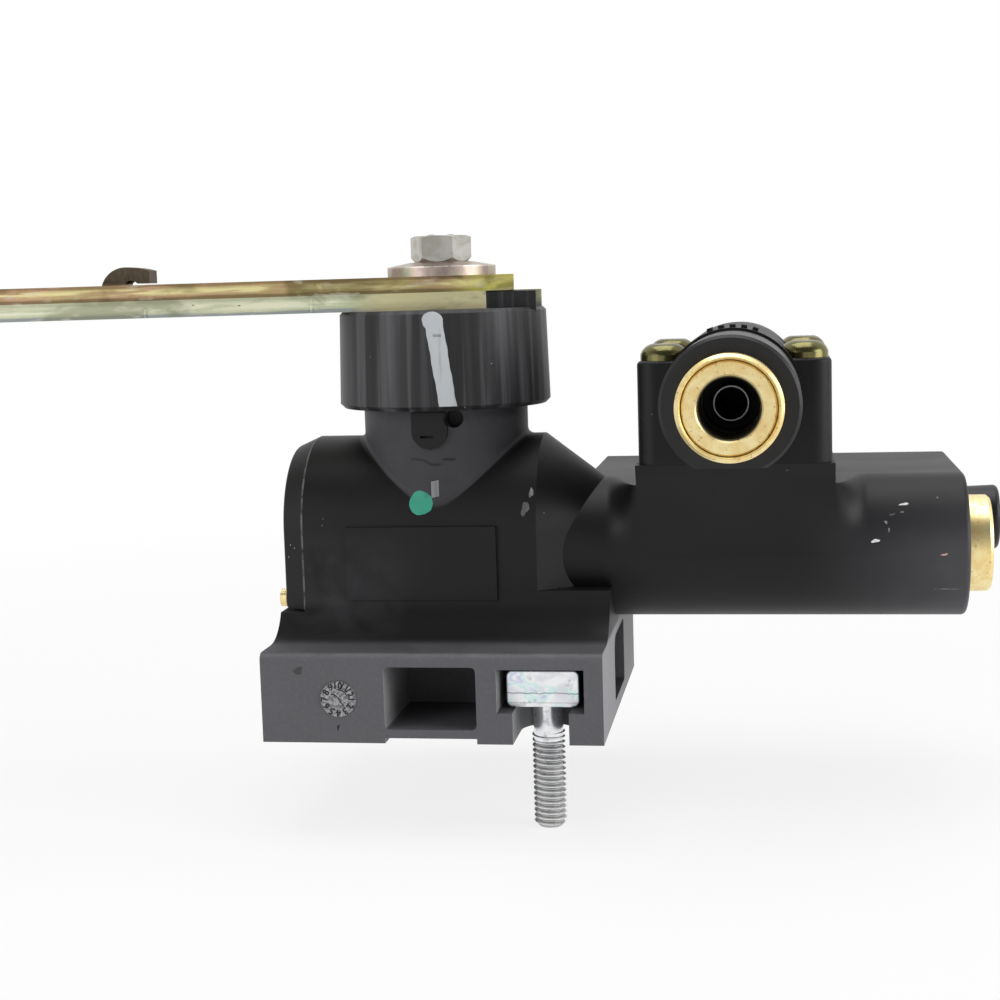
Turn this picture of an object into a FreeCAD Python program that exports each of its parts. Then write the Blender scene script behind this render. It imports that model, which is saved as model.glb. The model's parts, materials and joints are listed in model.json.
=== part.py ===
import FreeCAD, Part
import math
import os
import Sketcher

V = FreeCAD.Vector

# Leveling valve for an air suspension: a moulded body with a lever on a turning hub, a manifold block
# with two tube ports, a supply port and a dump port at the right end, and a T-bolt under the base.
# X runs along the body towards the supply port, Y runs from the front face to the rear, Z is up.
# The origin lies on the flat underside of the base, below the lever's axis. Millimetres.

SIZES = {
    # small edges and gaps that many pieces share
    "edge_break": 0.6,
    "rim_edge": 0.5,
    "small_edge": 0.3,
    "part_gap": 0.05,
    "wall_gap": 0.1,
    # mounting base
    "base_left": 29.4,
    "base_right": 32.2,
    "base_half_depth": 32.2,
    "base_height": 16.2,
    "base_edge": 1.3,
    "saddle_radius": 8.5,
    "pocket_width": 16.6,
    "pocket_floor": 2.5,
    "pocket_height": 11.3,
    "pocket_depth": 21.0,
    "pocket_corner": 0.9,
    "side_pocket_width": 19.0,
    "side_pocket_height": 12.2,
    "side_pocket_depth": 9.5,
    "side_pocket_round": 3.0,
    "recess_depth": 0.95,
    "clock_radius": 3.3,
    "clock_proud": 0.2,
    "clock_x": 15.2,
    "clock_z": 8.0,
    # T-slots and the bolt in the front one
    "slot_offset": 19.7,
    "slot_width": 15.5,
    "slot_roof": 13.4,
    "slot_floor": 5.6,
    "stem_width": 10.0,
    "bolt_line": 22.0,
    "bolt_head": 13.0,
    "bolt_head_height": 6.6,
    "bolt_head_gap": 0.3,
    "bolt_head_edge": 1.1,
    "bolt_shank": 2.7,
    "thread_start": 0.5,
    "stud_radius": 3.0,
    "bolt_reach": 17.5,
    "bolt_tip": 0.9,
    # arched chamber
    "chamber_radius": 16.5,
    "chamber_top": 52.3,
    "chamber_left": 24.8,
    "chamber_right": 19.0,
    "cap_thickness": 4.3,
    "cap_floor": 21.2,
    "cap_seat_gap": 0.3,
    "cap_draft": 1.9,
    "cap_edge": 0.8,
    "cap_spigot": 3.0,
    "cap_screw_y": 12.8,
    "cap_screw_z": 22.9,
    "cap_screw_top_z": 46.9,
    "cap_screw_radius": 1.2,
    "cap_screw_head": 1.7,
    "cap_screw_head_height": 1.2,
    "cap_screw_length": 8.0,
    "label_left": 16.6,
    "label_right": 11.6,
    "label_floor": 23.1,
    "label_roof": 36.7,
    "label_proud": 0.7,
    # neck
    "neck_radius": 15.6,
    "neck_top": 69.0,
    "neck_bore": 7.5,
    "neck_bore_floor": 50.0,
    "neck_fillet": 1.2,
    "pin_hole_radius": 1.7,
    "pin_hole_x": 4.2,
    "pin_hole_z": 56.4,
    "pin_hole_wall": 3.0,
    "tongue_x": -0.2,
    "tongue_z": 54.2,
    "tongue_radius": 3.35,
    "tongue_gap": 0.5,
    "tongue_proud": 0.6,
    "tongue_root": 2.0,
    "slit_x": -0.75,
    "slit_z": 53.2,
    "slit_length": 2.4,
    "slit_height": 0.5,
    "slit_depth": 0.8,
    # double barrel
    "port_z": 30.6,
    "barrel_radius": 13.2,
    "funnel_end": 30.6,
    "funnel_sink": 0.3,
    "barrel_start": 27.0,
    "barrel_root": 7.0,
    "barrel_end": 96.4,
    "rear_face": 40.0,
    "rear_corner": 1.5,
    "rear_round": 10.0,
    "barrel_end_edge": 0.9,
    "dump_y": 28.0,
    "dump_z": 31.6,
    # riser under the manifold block
    "block_x": 55.0,
    "block_width": 34.4,
    "block_depth": 34.6,
    "riser_extra": 0.5,
    "riser_front": 16.2,
    "riser_sink": 0.5,
    "riser_rear": 17.5,
    "riser_top": 47.6,
    "riser_port": 3.5,
    "gallery_z": 40.7,
    "gallery_radius": 1.4,
    "gallery_start": 15.1,
    "seal_groove_in": 5.0,
    "seal_groove_out": 7.4,
    "seal_groove_depth": 1.9,
    # manifold block
    "block_top": 66.1,
    "block_corner": 3.2,
    "block_edge": 0.8,
    "fitting_z": 59.5,
    "feed_chamber": 4.0,
    "feed_hole": 1.3,
    "feed_hole_y": 2.15,
    "bore_wall": 1.4,
    "boss_radius": 12.3,
    "boss_reach": 20.0,
    "rib_height": 0.55,
    "rib_length": 2.6,
    "rib_inset": 2.0,
    "rib_row_gap": 1.0,
    "rib_root": 0.5,
    "rib_pitch": 9.3,
    "rib_foot": 2.6,
    "rib_tip": 2.2,
    "screw_pitch": 24.8,
    "screw_radius": 1.9,
    "screw_clearance": 0.4,
    "screw_head": 4.3,
    "screw_head_height": 2.9,
    "screw_head_rim": 1.0,
    "screw_head_flat": 2.4,
    "screw_head_round": 2.65,
    "screw_head_room": 0.5,
    "screw_bite": 7.5,
    "screw_end_gap": 0.5,
    "drive_slot": 1.1,
    "drive_depth": 1.2,
    # tube fittings for 3/8 inch tube
    "sleeve_face": 40.6,
    "sleeve_radius": 11.8,
    "sleeve_flat": 10.2,
    "sleeve_edge": 0.5,
    "spigot_depth": 11.4,
    "sleeve_seal_start": 5.1,
    "cartridge_radius": 8.9,
    "cartridge_depth": 9.0,
    "port_proud": 4.9,
    "supply_proud": 4.4,
    "button_radius": 7.8,
    "button_gap": 0.15,
    "button_recess": 0.4,
    "button_thickness": 3.0,
    "collet_tail": 6.0,
    "collet_inset": 6.75,
    "bead_rise": 0.55,
    "bead_length": 0.8,
    "bead_edge": 0.2,
    "lip_gap": 0.25,
    "lip_length": 1.0,
    "lip_slope": 0.4,
    "tube_bore": 5.05,
    "grab_thickness": 0.4,
    "grab_dish": 0.35,
    "grab_hole": 4.85,
    "seal_room": 3.0,
    "seal_pocket": 7.05,
    "tube_seal_section": 1.1,
    "nose_depth": 4.0,
    "nose_radius": 4.9,
    "support_radius": 3.1,
    "support_bore": 2.75,
    "support_inset": 8.0,
    "support_flange": 1.0,
    "passage_radius": 3.0,
    # dump fitting for 1/4 inch tube
    "dump_radius": 6.5,
    "dump_depth": 8.4,
    "dump_button": 6.4,
    "dump_button_start": 1.6,
    "dump_proud": 9.2,
    "dump_draft": 0.25,
    "dump_round": 0.95,
    "dump_tail": 4.1,
    "dump_inset": 6.4,
    "dump_tube_bore": 3.3,
    "dump_grab_hole": 3.15,
    "dump_seal_pocket": 5.05,
    "dump_seal_section": 0.9,
    "dump_seal_room": 2.6,
    "dump_nose": 3.25,
    "dump_nose_depth": 3.4,
    "dump_support": 2.0,
    "dump_support_bore": 1.6,
    "dump_support_inset": 7.4,
    "dump_passage": 1.9,
    "dump_link_x": 30.5,
    # spool, damper and check valve in the long bore
    "damper_radius": 11.0,
    "damper_end": 11.0,
    "spool_bore": 7.05,
    "spool_radius": 7.0,
    "spool_bore_end": 36.0,
    "spool_stem": 4.0,
    "land_a": 9.5,
    "slot_block": 5.2,
    "stem_b": 6.0,
    "land_b_start": 10.0,
    "land_b_end": 14.5,
    "land_c_start": 18.5,
    "land_c_end": 23.5,
    "spool_slot": 4.1,
    "spool_slot_floor": 28.4,
    "spool_seal_section": 0.7,
    "piston_left": 18.5,
    "piston_right": 14.5,
    "piston_gap": 0.6,
    "piston_rod": 3.0,
    "piston_seal_section": 0.95,
    "ring_gap": 0.03,
    "ring_trim": 0.02,
    "check_start": 40.0,
    "check_bore": 4.7,
    "check_seat": 54.0,
    "check_seat_length": 3.0,
    "check_seat_hole": 2.4,
    "poppet_radius": 3.6,
    "poppet_length": 3.3,
    "poppet_seat_gap": 0.3,
    "poppet_stem": 1.5,
    "poppet_stem_length": 6.0,
    "check_wire": 0.35,
    "check_coil": 2.6,
    "check_turns": 4.5,
    "supply_gallery_z": 20.4,
    "supply_gallery_end": 45.0,
    "filter_thickness": 0.8,
    "filter_hole": 0.7,
    "filter_hole_circle": 2.55,
    # shaft and what carries it
    "shaft_radius": 5.0,
    "running_gap": 0.05,
    "shaft_foot": 38.2,
    "eccentric": 3.0,
    "crank_radius": 1.9,
    "crank_foot": 29.2,
    "collar_radius": 7.2,
    "collar_floor": 53.3,
    "collar_top": 55.2,
    "bush_floor": 55.5,
    "bush_top": 67.2,
    "clip_thickness": 0.9,
    "clip_reach": 0.6,
    "clip_width": 2.2,
    "seal_section": 1.18,
    "drive_radius": 4.2,
    "drive_flat": 3.4,
    "drive_foot": 70.0,
    "stud_top": 90.15,
    "thrust_inner": 8.7,
    "thrust_outer": 15.0,
    "thrust_thickness": 0.7,
    # hub
    "hub_radius": 20.05,
    "hub_top_radius": 19.6,
    "hub_floor": 58.1,
    "hub_top": 76.2,
    "hub_chamfer": 0.8,
    "hub_edge": 0.6,
    "hub_skirt_bore": 16.3,
    "hub_web_floor": 70.1,
    "lug_left": 8.4,
    "lug_right": 17.6,
    "lug_front": 8.8,
    "lug_rear": 1.1,
    "lug_height": 3.0,
    # lever
    "lever_angle": 8.5,
    "plate_width": 18.0,
    "lower_thickness": 3.2,
    "upper_thickness": 2.95,
    "lower_right": 18.8,
    "lower_notch": 8.4,
    "notch_rear": 0.8,
    "lower_reach": 112.0,
    "upper_right": 13.6,
    "upper_reach": 165.0,
    "stud_hole": 3.2,
    "link_inset": 13.0,
    "link_hole": 4.1,
    "clamp_inset": 14.0,
    "clamp_slot": 14.0,
    "clamp_hole": 3.2,
    "clamp_radius": 3.0,
    "clamp_head": 6.6,
    "clamp_head_height": 3.2,
    "clamp_dome": 4.1,
    "clamp_dome_round": 5.3,
    "clamp_rim": 0.9,
    "clamp_spare": 1.5,
    "clamp_nut_turn": 12.0,
    "clamp_nut_flats": 10.0,
    "clamp_nut_height": 5.0,
    "tab_left": 63.9,
    "tab_right": 54.8,
    "tab_height": 3.4,
    "tab_root": 4.4,
    "tab_arch": 2.3,
    "tab_arch_rise": 0.6,
    "tab_width": 7.0,
    "tab_gap": 0.3,
    "tab_drop": 0.7,
    "washer_radius": 10.25,
    "washer_bore": 3.25,
    "washer_rim": 1.85,
    "washer_rise": 0.8,
    "nut_flats": 10.0,
    "nut_height": 4.9,
    "nut_turn": 2.5,
    "nut_bore": 3.05,
    "nut_bevel_reach": 1.0,
    "nut_top_bevel": 0.4,
    "nut_foot_bevel": 1.1,
}


class Dim:
    """A size that carries its value in millimetres and the sheet expression it is bound to."""

    def __init__(self, value, text):
        self.value = float(value)
        self.text = text

    def __add__(self, other):
        other = as_dim(other)
        return Dim(self.value + other.value, "(%s + %s)" % (self.text, other.text))

    def __radd__(self, other):
        return as_dim(other) + self

    def __sub__(self, other):
        other = as_dim(other)
        return Dim(self.value - other.value, "(%s - %s)" % (self.text, other.text))

    def __rsub__(self, other):
        return as_dim(other) - self

    def __mul__(self, other):
        other = as_dim(other)
        return Dim(self.value * other.value, "(%s * %s)" % (self.text, other.text))

    def __rmul__(self, other):
        return as_dim(other) * self

    def __truediv__(self, other):
        other = as_dim(other)
        return Dim(self.value / other.value, "(%s / %s)" % (self.text, other.text))

    def __neg__(self):
        return Dim(-self.value, "(0 - %s)" % self.text)


def as_dim(number):
    """A plain number as a size, or the size itself."""
    if isinstance(number, Dim):
        return number
    return Dim(number, "(%.9f)" % number)


def root(size):
    """Square root of a size."""
    return Dim(math.sqrt(size.value), "sqrt(%s)" % size.text)


def sine(angle):
    """Sine of an angle in degrees."""
    return Dim(math.sin(math.radians(angle.value)), "sin(%s)" % angle.text)


def cosine(angle):
    """Cosine of an angle in degrees."""
    return Dim(math.cos(math.radians(angle.value)), "cos(%s)" % angle.text)


def arc_radius(half_width, rise):
    """Radius of an arc that rises so far over a half width."""
    return (half_width * half_width + rise * rise) / (2 * rise)


class SizeSheet:
    """The spreadsheet of driving sizes, read as attributes such as sizes.base_left."""

    def __init__(self, doc, table):
        self._sheet = doc.addObject("Spreadsheet::Sheet", "Sizes")
        for row, (name, value) in enumerate(table.items(), start=1):
            cell = "A%d" % row
            self._sheet.set(cell, repr(value))
            self._sheet.setAlias(cell, name)
            setattr(self, name, Dim(value, "Sizes." + name))
        doc.recompute()


DOC = FreeCAD.newDocument("LevelingValve")
S = SizeSheet(DOC, SIZES)
NODES = []

UP = V(0, 0, 1)
FRONT = V(0, -1, 0)
REAR = V(0, 1, 0)
RIGHT = V(1, 0, 0)
LEFT = V(-1, 0, 0)


def bind(thing, prop, size):
    """Bind one property of an object to a size."""
    thing.setExpression(prop, as_dim(size).text)


def new_body(label, base=(0, 0, 0), direction=UP, swing=None):
    """A PartDesign body that is a node, with its local Z turned to a direction and its base bound.

    An upright body may be swung about its Z axis by a bound angle.
    """
    body = DOC.addObject("PartDesign::Body", label)
    body.Label = label
    body.Placement = FreeCAD.Placement(V(0, 0, 0), FreeCAD.Rotation(UP, direction))
    if swing is not None:
        bind(body, "Placement.Rotation.Angle", swing)
    for axis, size in zip("xyz", base):
        bind(body, "Placement.Base." + axis, size)
    NODES.append(body)
    return body


def origin_plane(body, role):
    """One of the body's own origin planes."""
    return [item for item in body.Origin.OriginFeatures if item.Role == role][0]


def new_sketch(body, role, offset=0, shift=(0, 0)):
    """A sketch on an origin plane, moved along the plane's normal and within the plane."""
    sketch = body.newObject("Sketcher::SketchObject", "Sketch")
    sketch.AttachmentSupport = (origin_plane(body, role), [""])
    sketch.MapMode = "FlatFace"
    for axis, size in zip("xyz", (shift[0], shift[1], offset)):
        bind(sketch, "AttachmentOffset.Base." + axis, size)
    return sketch


def fix_point(sketch, geometry, vertex, point):
    """Bind a vertex's two coordinates to sizes."""
    for kind, size in zip(("DistanceX", "DistanceY"), point):
        size = as_dim(size)
        index = sketch.addConstraint(Sketcher.Constraint(kind, -1, 1, geometry, vertex, size.value))
        sketch.setExpression("Constraints[%d]" % index, size.text)


def arc_between(start, end, radius, bulge):
    """An arc of the given radius from start to end; bulge +1 keeps it to the right of the run."""
    chord = end - start
    half = chord.Length / 2
    middle = (start + end) * 0.5
    side = V(chord.y, -chord.x, 0).normalize() * bulge
    rise = math.sqrt(max(radius * radius - half * half, 0.0))
    top = middle - side * rise + side * radius
    return Part.Arc(start, top, end)


def add_outline(sketch, points, arcs=None):
    """A closed outline of bound points; arcs maps an edge's number to its radius and bulge side.

    An arc is held by its radius, and a half circle by its centre, which lies on its chord.
    """
    arcs = arcs or {}
    corners = [V(as_dim(x).value, as_dim(y).value, 0) for x, y in points]
    count = len(corners)
    first = sketch.GeometryCount
    for i, start in enumerate(corners):
        end = corners[(i + 1) % count]
        if i in arcs:
            radius, bulge = arcs[i]
            sketch.addGeometry(arc_between(start, end, as_dim(radius).value, bulge), False)
        else:
            sketch.addGeometry(Part.LineSegment(start, end), False)
    ends = []
    for i, start in enumerate(corners):
        forward = (sketch.getPoint(first + i, 1) - start).Length < 1e-6
        ends.append((1, 2) if forward else (2, 1))
    for i in range(count):
        other = (i + 1) % count
        sketch.addConstraint(
            Sketcher.Constraint("Coincident", first + i, ends[i][1], first + other, ends[other][0])
        )
    for i, point in enumerate(points):
        fix_point(sketch, first + i, ends[i][0], point)
    for i, (radius, _) in arcs.items():
        radius = as_dim(radius)
        chord = corners[(i + 1) % count] - corners[i]
        if near(chord.Length, 2 * radius.value, 1e-6):
            level = abs(chord.x) > abs(chord.y)
            kind, size = ("DistanceY", points[i][1]) if level else ("DistanceX", points[i][0])
            size = as_dim(size)
            index = sketch.addConstraint(Sketcher.Constraint(kind, -1, 1, first + i, 3, size.value))
            sketch.setExpression("Constraints[%d]" % index, size.text)
        else:
            index = sketch.addConstraint(Sketcher.Constraint("Radius", first + i, radius.value))
            sketch.setExpression("Constraints[%d]" % index, radius.text)


def add_circle(sketch, centre, radius):
    """A circle with bound centre and radius."""
    radius = as_dim(radius)
    point = V(as_dim(centre[0]).value, as_dim(centre[1]).value, 0)
    index = sketch.addGeometry(Part.Circle(point, V(0, 0, 1), radius.value), False)
    fix_point(sketch, index, 3, centre)
    place = sketch.addConstraint(Sketcher.Constraint("Radius", index, radius.value))
    sketch.setExpression("Constraints[%d]" % place, radius.text)


def add_box(sketch, low, high):
    """A rectangle between two bound corners."""
    add_outline(sketch, [low, (high[0], low[1]), high, (low[0], high[1])])


def round_box(low, high, corner, top_left=None):
    """Points and arcs of a rectangle with round corners, counter-clockwise."""
    x0, y0 = low
    x1, y1 = high
    large = corner if top_left is None else top_left
    points = [
        (x0 + corner, y0), (x1 - corner, y0), (x1, y0 + corner), (x1, y1 - corner),
        (x1 - corner, y1), (x0 + large, y1), (x0, y1 - large), (x0, y0 + corner),
    ]
    return points, {1: (corner, 1), 3: (corner, 1), 5: (large, 1), 7: (corner, 1)}


def add_feature(body, kind, sketch, length, backward=False):
    """A pad or pocket of a sketch, along the plane's normal or against it."""
    feature = body.newObject("PartDesign::" + kind, kind)
    feature.Profile = sketch
    bind(feature, "Length", length)
    feature.Reversed = backward
    body.Tip = feature
    return feature


def pad(body, sketch, length, backward=False):
    """Material along the sketch's normal."""
    return add_feature(body, "Pad", sketch, length, backward)


def pocket(body, sketch, length, backward=False):
    """A cut against the sketch's normal, or along it when backward."""
    return add_feature(body, "Pocket", sketch, length, backward)


def turn_feature(body, kind, sketch, axis):
    """A full revolution or groove of a sketch round one of its own axes."""
    feature = body.newObject("PartDesign::" + kind, kind)
    feature.Profile = sketch
    feature.ReferenceAxis = (sketch, [axis])
    feature.Angle = 360
    body.Tip = feature
    return feature


def loft(body, first, second):
    """A ruled solid between two sketches."""
    feature = body.newObject("PartDesign::AdditiveLoft", "Loft")
    feature.Profile = first
    feature.Sections = [second]
    feature.Ruled = True
    body.Tip = feature


def turned(label, profile, base=(0, 0, 0), direction=UP, arcs=None, swing=None):
    """A turned piece: a profile of (radius, height) points round the local Z axis."""
    body = new_body(label, base, direction, swing)
    sketch = new_sketch(body, "XZ_Plane")
    add_outline(sketch, profile, arcs)
    turn_feature(body, "Revolution", sketch, "V_Axis")
    return body


def ring(label, centre_radius, section, base, direction=UP):
    """A round-section sealing ring."""
    body = new_body(label, base, direction)
    sketch = new_sketch(body, "XZ_Plane")
    add_circle(sketch, (centre_radius, 0), section)
    turn_feature(body, "Revolution", sketch, "V_Axis")
    return body


def edges_where(shape, test):
    """Names of the edges of a shape that pass a test."""
    return ["Edge%d" % (i + 1) for i, edge in enumerate(shape.Edges) if test(edge)]


def dress(body, kind, prop, size, test):
    """A fillet or chamfer on the edges of the body's tip that pass a test."""
    DOC.recompute()
    base = body.Tip
    feature = body.newObject("PartDesign::" + kind, kind)
    feature.Base = (base, edges_where(base.Shape, test))
    bind(feature, prop, size)
    body.Tip = feature
    return feature


def fillet(body, radius, test):
    """Rounded edges."""
    return dress(body, "Fillet", "Radius", radius, test)


def chamfer(body, size, test):
    """Bevelled edges."""
    return dress(body, "Chamfer", "Size", size, test)


def near(a, b, room=0.02):
    """True when two numbers agree within a small room."""
    return abs(a - b) < room


def all_points(edge, test):
    """True when both ends and the middle of an edge pass a test."""
    first, last = edge.ParameterRange
    return all(test(edge.valueAt(t)) for t in (first, (first + last) / 2, last))


# Places that several pieces share
BASE_MIDDLE = (S.base_right - S.base_left) / 2
CHAMBER_Z = S.chamber_top - S.chamber_radius
CAP_FACE = S.chamber_left + S.cap_thickness
BARREL_TOP = S.port_z + S.barrel_radius
PLATE_TOP = S.hub_top + S.lower_thickness
LEVER_TOP = PLATE_TOP + S.upper_thickness
WASHER_TOP = LEVER_TOP + S.washer_rim + S.washer_rise
CLAMP_REACH = S.lower_reach - S.clamp_inset
HALF_PITCH = S.screw_pitch / 2
PORT_DEPTH = S.cartridge_depth + S.seal_room + S.nose_depth
FITTING_BACK = S.sleeve_face - S.boss_reach


def arch_outline(radius, centre_z, floor_z):
    """A tombstone section in (y, z): upright sides under a half-round top."""
    points = [(-radius, floor_z), (radius, floor_z), (radius, centre_z), (-radius, centre_z)]
    return points, {2: (radius, 1)}


def build_base(body):
    """The mounting base and the hollow flanks that lead up to the chamber."""
    block = new_sketch(body, "XY_Plane")
    add_box(block, (-S.base_left, -S.base_half_depth), (S.base_right, S.base_half_depth))
    pad(body, block, S.base_height)
    fillet(body, S.base_edge, lambda e: all_points(
        e, lambda p: near(p.z, S.base_height.value) and near(abs(p.y), S.base_half_depth.value)))
    foot = S.chamber_radius + S.saddle_radius
    crown = S.base_height + S.saddle_radius
    sunk = S.base_height - S.base_edge
    saddle = new_sketch(body, "YZ_Plane", -S.base_left)
    add_outline(
        saddle,
        [(-foot, S.base_height), (-foot, sunk), (foot, sunk), (foot, S.base_height),
         (S.chamber_radius, crown), (-S.chamber_radius, crown)],
        {3: (S.saddle_radius, -1), 5: (S.saddle_radius, -1)},
    )
    pad(body, saddle, S.base_left + S.base_right)


def build_chamber(body):
    """The arched chamber, its neck and the funnel that narrows to the front barrel."""
    floor = S.base_height - S.base_edge
    arch = new_sketch(body, "YZ_Plane", -S.chamber_left)
    add_outline(arch, *arch_outline(S.chamber_radius, CHAMBER_Z, floor))
    pad(body, arch, S.chamber_left + S.chamber_right)
    wide = new_sketch(body, "YZ_Plane", S.chamber_right)
    add_outline(wide, *arch_outline(S.chamber_radius, CHAMBER_Z, floor))
    narrow = new_sketch(body, "YZ_Plane", S.funnel_end)
    add_outline(narrow, *arch_outline(BARREL_TOP - CHAMBER_Z - S.funnel_sink, CHAMBER_Z, floor))
    loft(body, wide, narrow)
    neck = new_sketch(body, "XY_Plane", CHAMBER_Z)
    add_circle(neck, (0, 0), S.neck_radius)
    pad(body, neck, S.neck_top - CHAMBER_Z)
    fillet(body, S.neck_fillet, lambda e: all_points(
        e, lambda p: near(math.hypot(p.x, p.y), S.neck_radius.value)
        and near(math.hypot(p.y, p.z - CHAMBER_Z.value), S.chamber_radius.value)))


def build_barrels(body):
    """The long double barrel with a flat top, round in front and square behind, and its rear web."""
    r = S.barrel_radius
    low = S.port_z - r
    section = new_sketch(body, "YZ_Plane", S.barrel_start)
    add_outline(
        section,
        [(0, BARREL_TOP), (0, low), (S.rear_face - S.rear_round, low),
         (S.rear_face, low + S.rear_round), (S.rear_face, BARREL_TOP - S.rear_corner),
         (S.rear_face - S.rear_corner, BARREL_TOP)],
        {0: (r, 1), 2: (S.rear_round, 1), 4: (S.rear_corner, 1)},
    )
    pad(body, section, S.barrel_end - S.barrel_start)
    stub = new_sketch(body, "YZ_Plane", S.barrel_start)
    add_circle(stub, (0, S.port_z), r)
    pad(body, stub, S.barrel_root, True)
    web = new_sketch(body, "XY_Plane", S.base_height - S.base_edge)
    add_box(web, (S.barrel_start, 0), (S.base_right, S.rear_face - S.rear_round))
    pad(body, web, r)
    build_riser(body)


def build_riser(body):
    """The pillar under the manifold block, whose front flares out from the barrel to the block."""
    half = S.block_width / 2 + S.riser_extra
    corner = S.block_corner + S.riser_extra
    plan = new_sketch(body, "XY_Plane", S.port_z)
    add_outline(plan, *round_box((S.block_x - half, -S.riser_front), (S.block_x + half, S.riser_rear),
                                 corner))
    pad(body, plan, S.riser_top - S.port_z)
    foot = S.barrel_radius - S.riser_sink
    curve = arc_radius(S.riser_top - S.port_z, S.riser_front - foot)
    flare = new_sketch(body, "YZ_Plane", S.block_x - half - 1)
    add_outline(
        flare,
        [(-S.riser_front - 1, S.port_z), (-foot, S.port_z), (-S.riser_front, S.riser_top),
         (-S.riser_front - 1, S.riser_top)],
        {1: (curve, 1)},
    )
    pocket(body, flare, 2 * half + 2, True)


def build_marks(body):
    """Raised plain panel, moulding clock disc, and the round-ended tongue under the hub's edge."""
    depth = S.label_proud + 1
    panel = new_sketch(body, "XZ_Plane", S.chamber_radius - 1)
    add_box(panel, (-S.label_left, S.label_floor), (S.label_right, S.label_roof))
    pad(body, panel, depth)
    clock = new_sketch(body, "XZ_Plane", S.base_half_depth - 1)
    add_circle(clock, (-S.clock_x, S.clock_z), S.clock_radius)
    pad(body, clock, S.clock_proud + 1)
    tongue = new_sketch(body, "XZ_Plane", S.neck_radius - S.tongue_root)
    left, right = S.tongue_x - S.tongue_radius, S.tongue_x + S.tongue_radius
    roof = S.hub_floor - S.tongue_gap
    add_outline(tongue, [(left, S.tongue_z), (right, S.tongue_z), (right, roof), (left, roof)],
                {0: (S.tongue_radius, 1)})
    pad(body, tongue, S.tongue_proud + S.tongue_root)


def cut_base(body):
    """Rectangular pockets in the four faces of the base, and the shallow relief under the front one."""
    half = S.pocket_width / 2
    left, right = BASE_MIDDLE - half, BASE_MIDDLE + half
    roof = S.pocket_floor + S.pocket_height
    for backward, face in ((False, S.base_half_depth), (True, -S.base_half_depth)):
        hole = new_sketch(body, "XZ_Plane", face)
        add_outline(hole, *round_box((left, S.pocket_floor), (right, roof), S.pocket_corner))
        pocket(body, hole, S.pocket_depth, backward)
    half = S.side_pocket_width / 2
    roof = S.pocket_floor + S.side_pocket_height
    for backward, face in ((False, S.base_right), (True, -S.base_left)):
        hole = new_sketch(body, "YZ_Plane", face)
        add_outline(hole, *round_box((-half, S.pocket_floor), (half, roof), S.pocket_corner,
                                     S.side_pocket_round))
        pocket(body, hole, S.side_pocket_depth, backward)
    relief = new_sketch(body, "XY_Plane", S.recess_depth)
    add_box(relief, (left, -S.base_half_depth - 1), (right, -S.base_half_depth + S.pocket_depth))
    pocket(body, relief, S.recess_depth + 1)


def cut_t_slot(body, side):
    """A T-slot in the front (side -1) or rear (side +1) face, on opposite corners of the base."""
    x = BASE_MIDDLE - side * S.slot_offset
    back = side * (S.bolt_line - S.slot_width / 2)
    mouth = side * (S.base_half_depth + 1)
    low, high = (mouth, back) if side < 0 else (back, mouth)
    head = new_sketch(body, "XY_Plane", S.slot_roof)
    add_box(head, (x - S.slot_width / 2, low), (x + S.slot_width / 2, high))
    pocket(body, head, S.slot_roof - S.slot_floor)
    r = S.stem_width / 2
    stem = new_sketch(body, "XY_Plane", S.slot_floor + S.wall_gap)
    line = side * S.bolt_line
    points = [(x - r, mouth), (x + r, mouth), (x + r, line), (x - r, line)]
    add_outline(stem, points, {2: (r, -side)})
    pocket(body, stem, S.slot_floor + S.wall_gap + 1)


def cut_cap_seat(body):
    """Room in front of the chamber's open end for the cap, and the cap screw holes."""
    seat = new_sketch(body, "XZ_Plane", -S.base_half_depth - 1)
    add_box(seat, (-S.base_left - 1, S.cap_floor - S.cap_seat_gap), (-S.chamber_left, S.chamber_top))
    pocket(body, seat, 2 * S.base_half_depth + 2, True)
    holes = new_sketch(body, "YZ_Plane", -S.chamber_left)
    for y, z in cap_screw_places():
        add_circle(holes, (y, z), S.cap_screw_radius)
    pocket(body, holes, S.cap_screw_length, True)


def cap_screw_places():
    """Where the three cap screws stand, as (y, z)."""
    return [(-S.cap_screw_y, S.cap_screw_z), (S.cap_screw_y, S.cap_screw_z), (as_dim(0), S.cap_screw_top_z)]


def port_steps(end, cartridge, depth, seal, seal_room, nose, nose_depth):
    """The steps of a tube port's bore, from the deep end out to its mouth, as (x, radius)."""
    seat = end - depth
    groove = seat - seal_room
    return [(groove - nose_depth, nose), (groove, nose), (groove, seal), (seat, seal),
            (seat, cartridge), (end + 1, cartridge), (end + 1, 0)]


def cut_long_bore(body):
    """The damper chamber and spool bore, made from the left end, and the supply bore from the right."""
    left = new_sketch(body, "XZ_Plane", 0, (0, S.port_z))
    open_end = -S.chamber_left - 1
    add_outline(left, [
        (open_end, 0), (open_end, S.damper_radius), (-S.damper_end, S.damper_radius),
        (-S.damper_end, S.spool_bore), (S.spool_bore_end, S.spool_bore), (S.spool_bore_end, 0),
    ])
    turn_feature(body, "Groove", left, "H_Axis")
    right = new_sketch(body, "XZ_Plane", 0, (0, S.port_z))
    inner = S.barrel_end - PORT_DEPTH
    points = [(S.check_start, 0), (S.check_start, S.check_bore), (inner, S.check_bore)]
    points += port_steps(S.barrel_end, S.cartridge_radius + S.part_gap, S.cartridge_depth, S.seal_pocket,
                         S.seal_room, S.nose_radius, S.nose_depth)
    add_outline(right, points)
    turn_feature(body, "Groove", right, "H_Axis")


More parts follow.
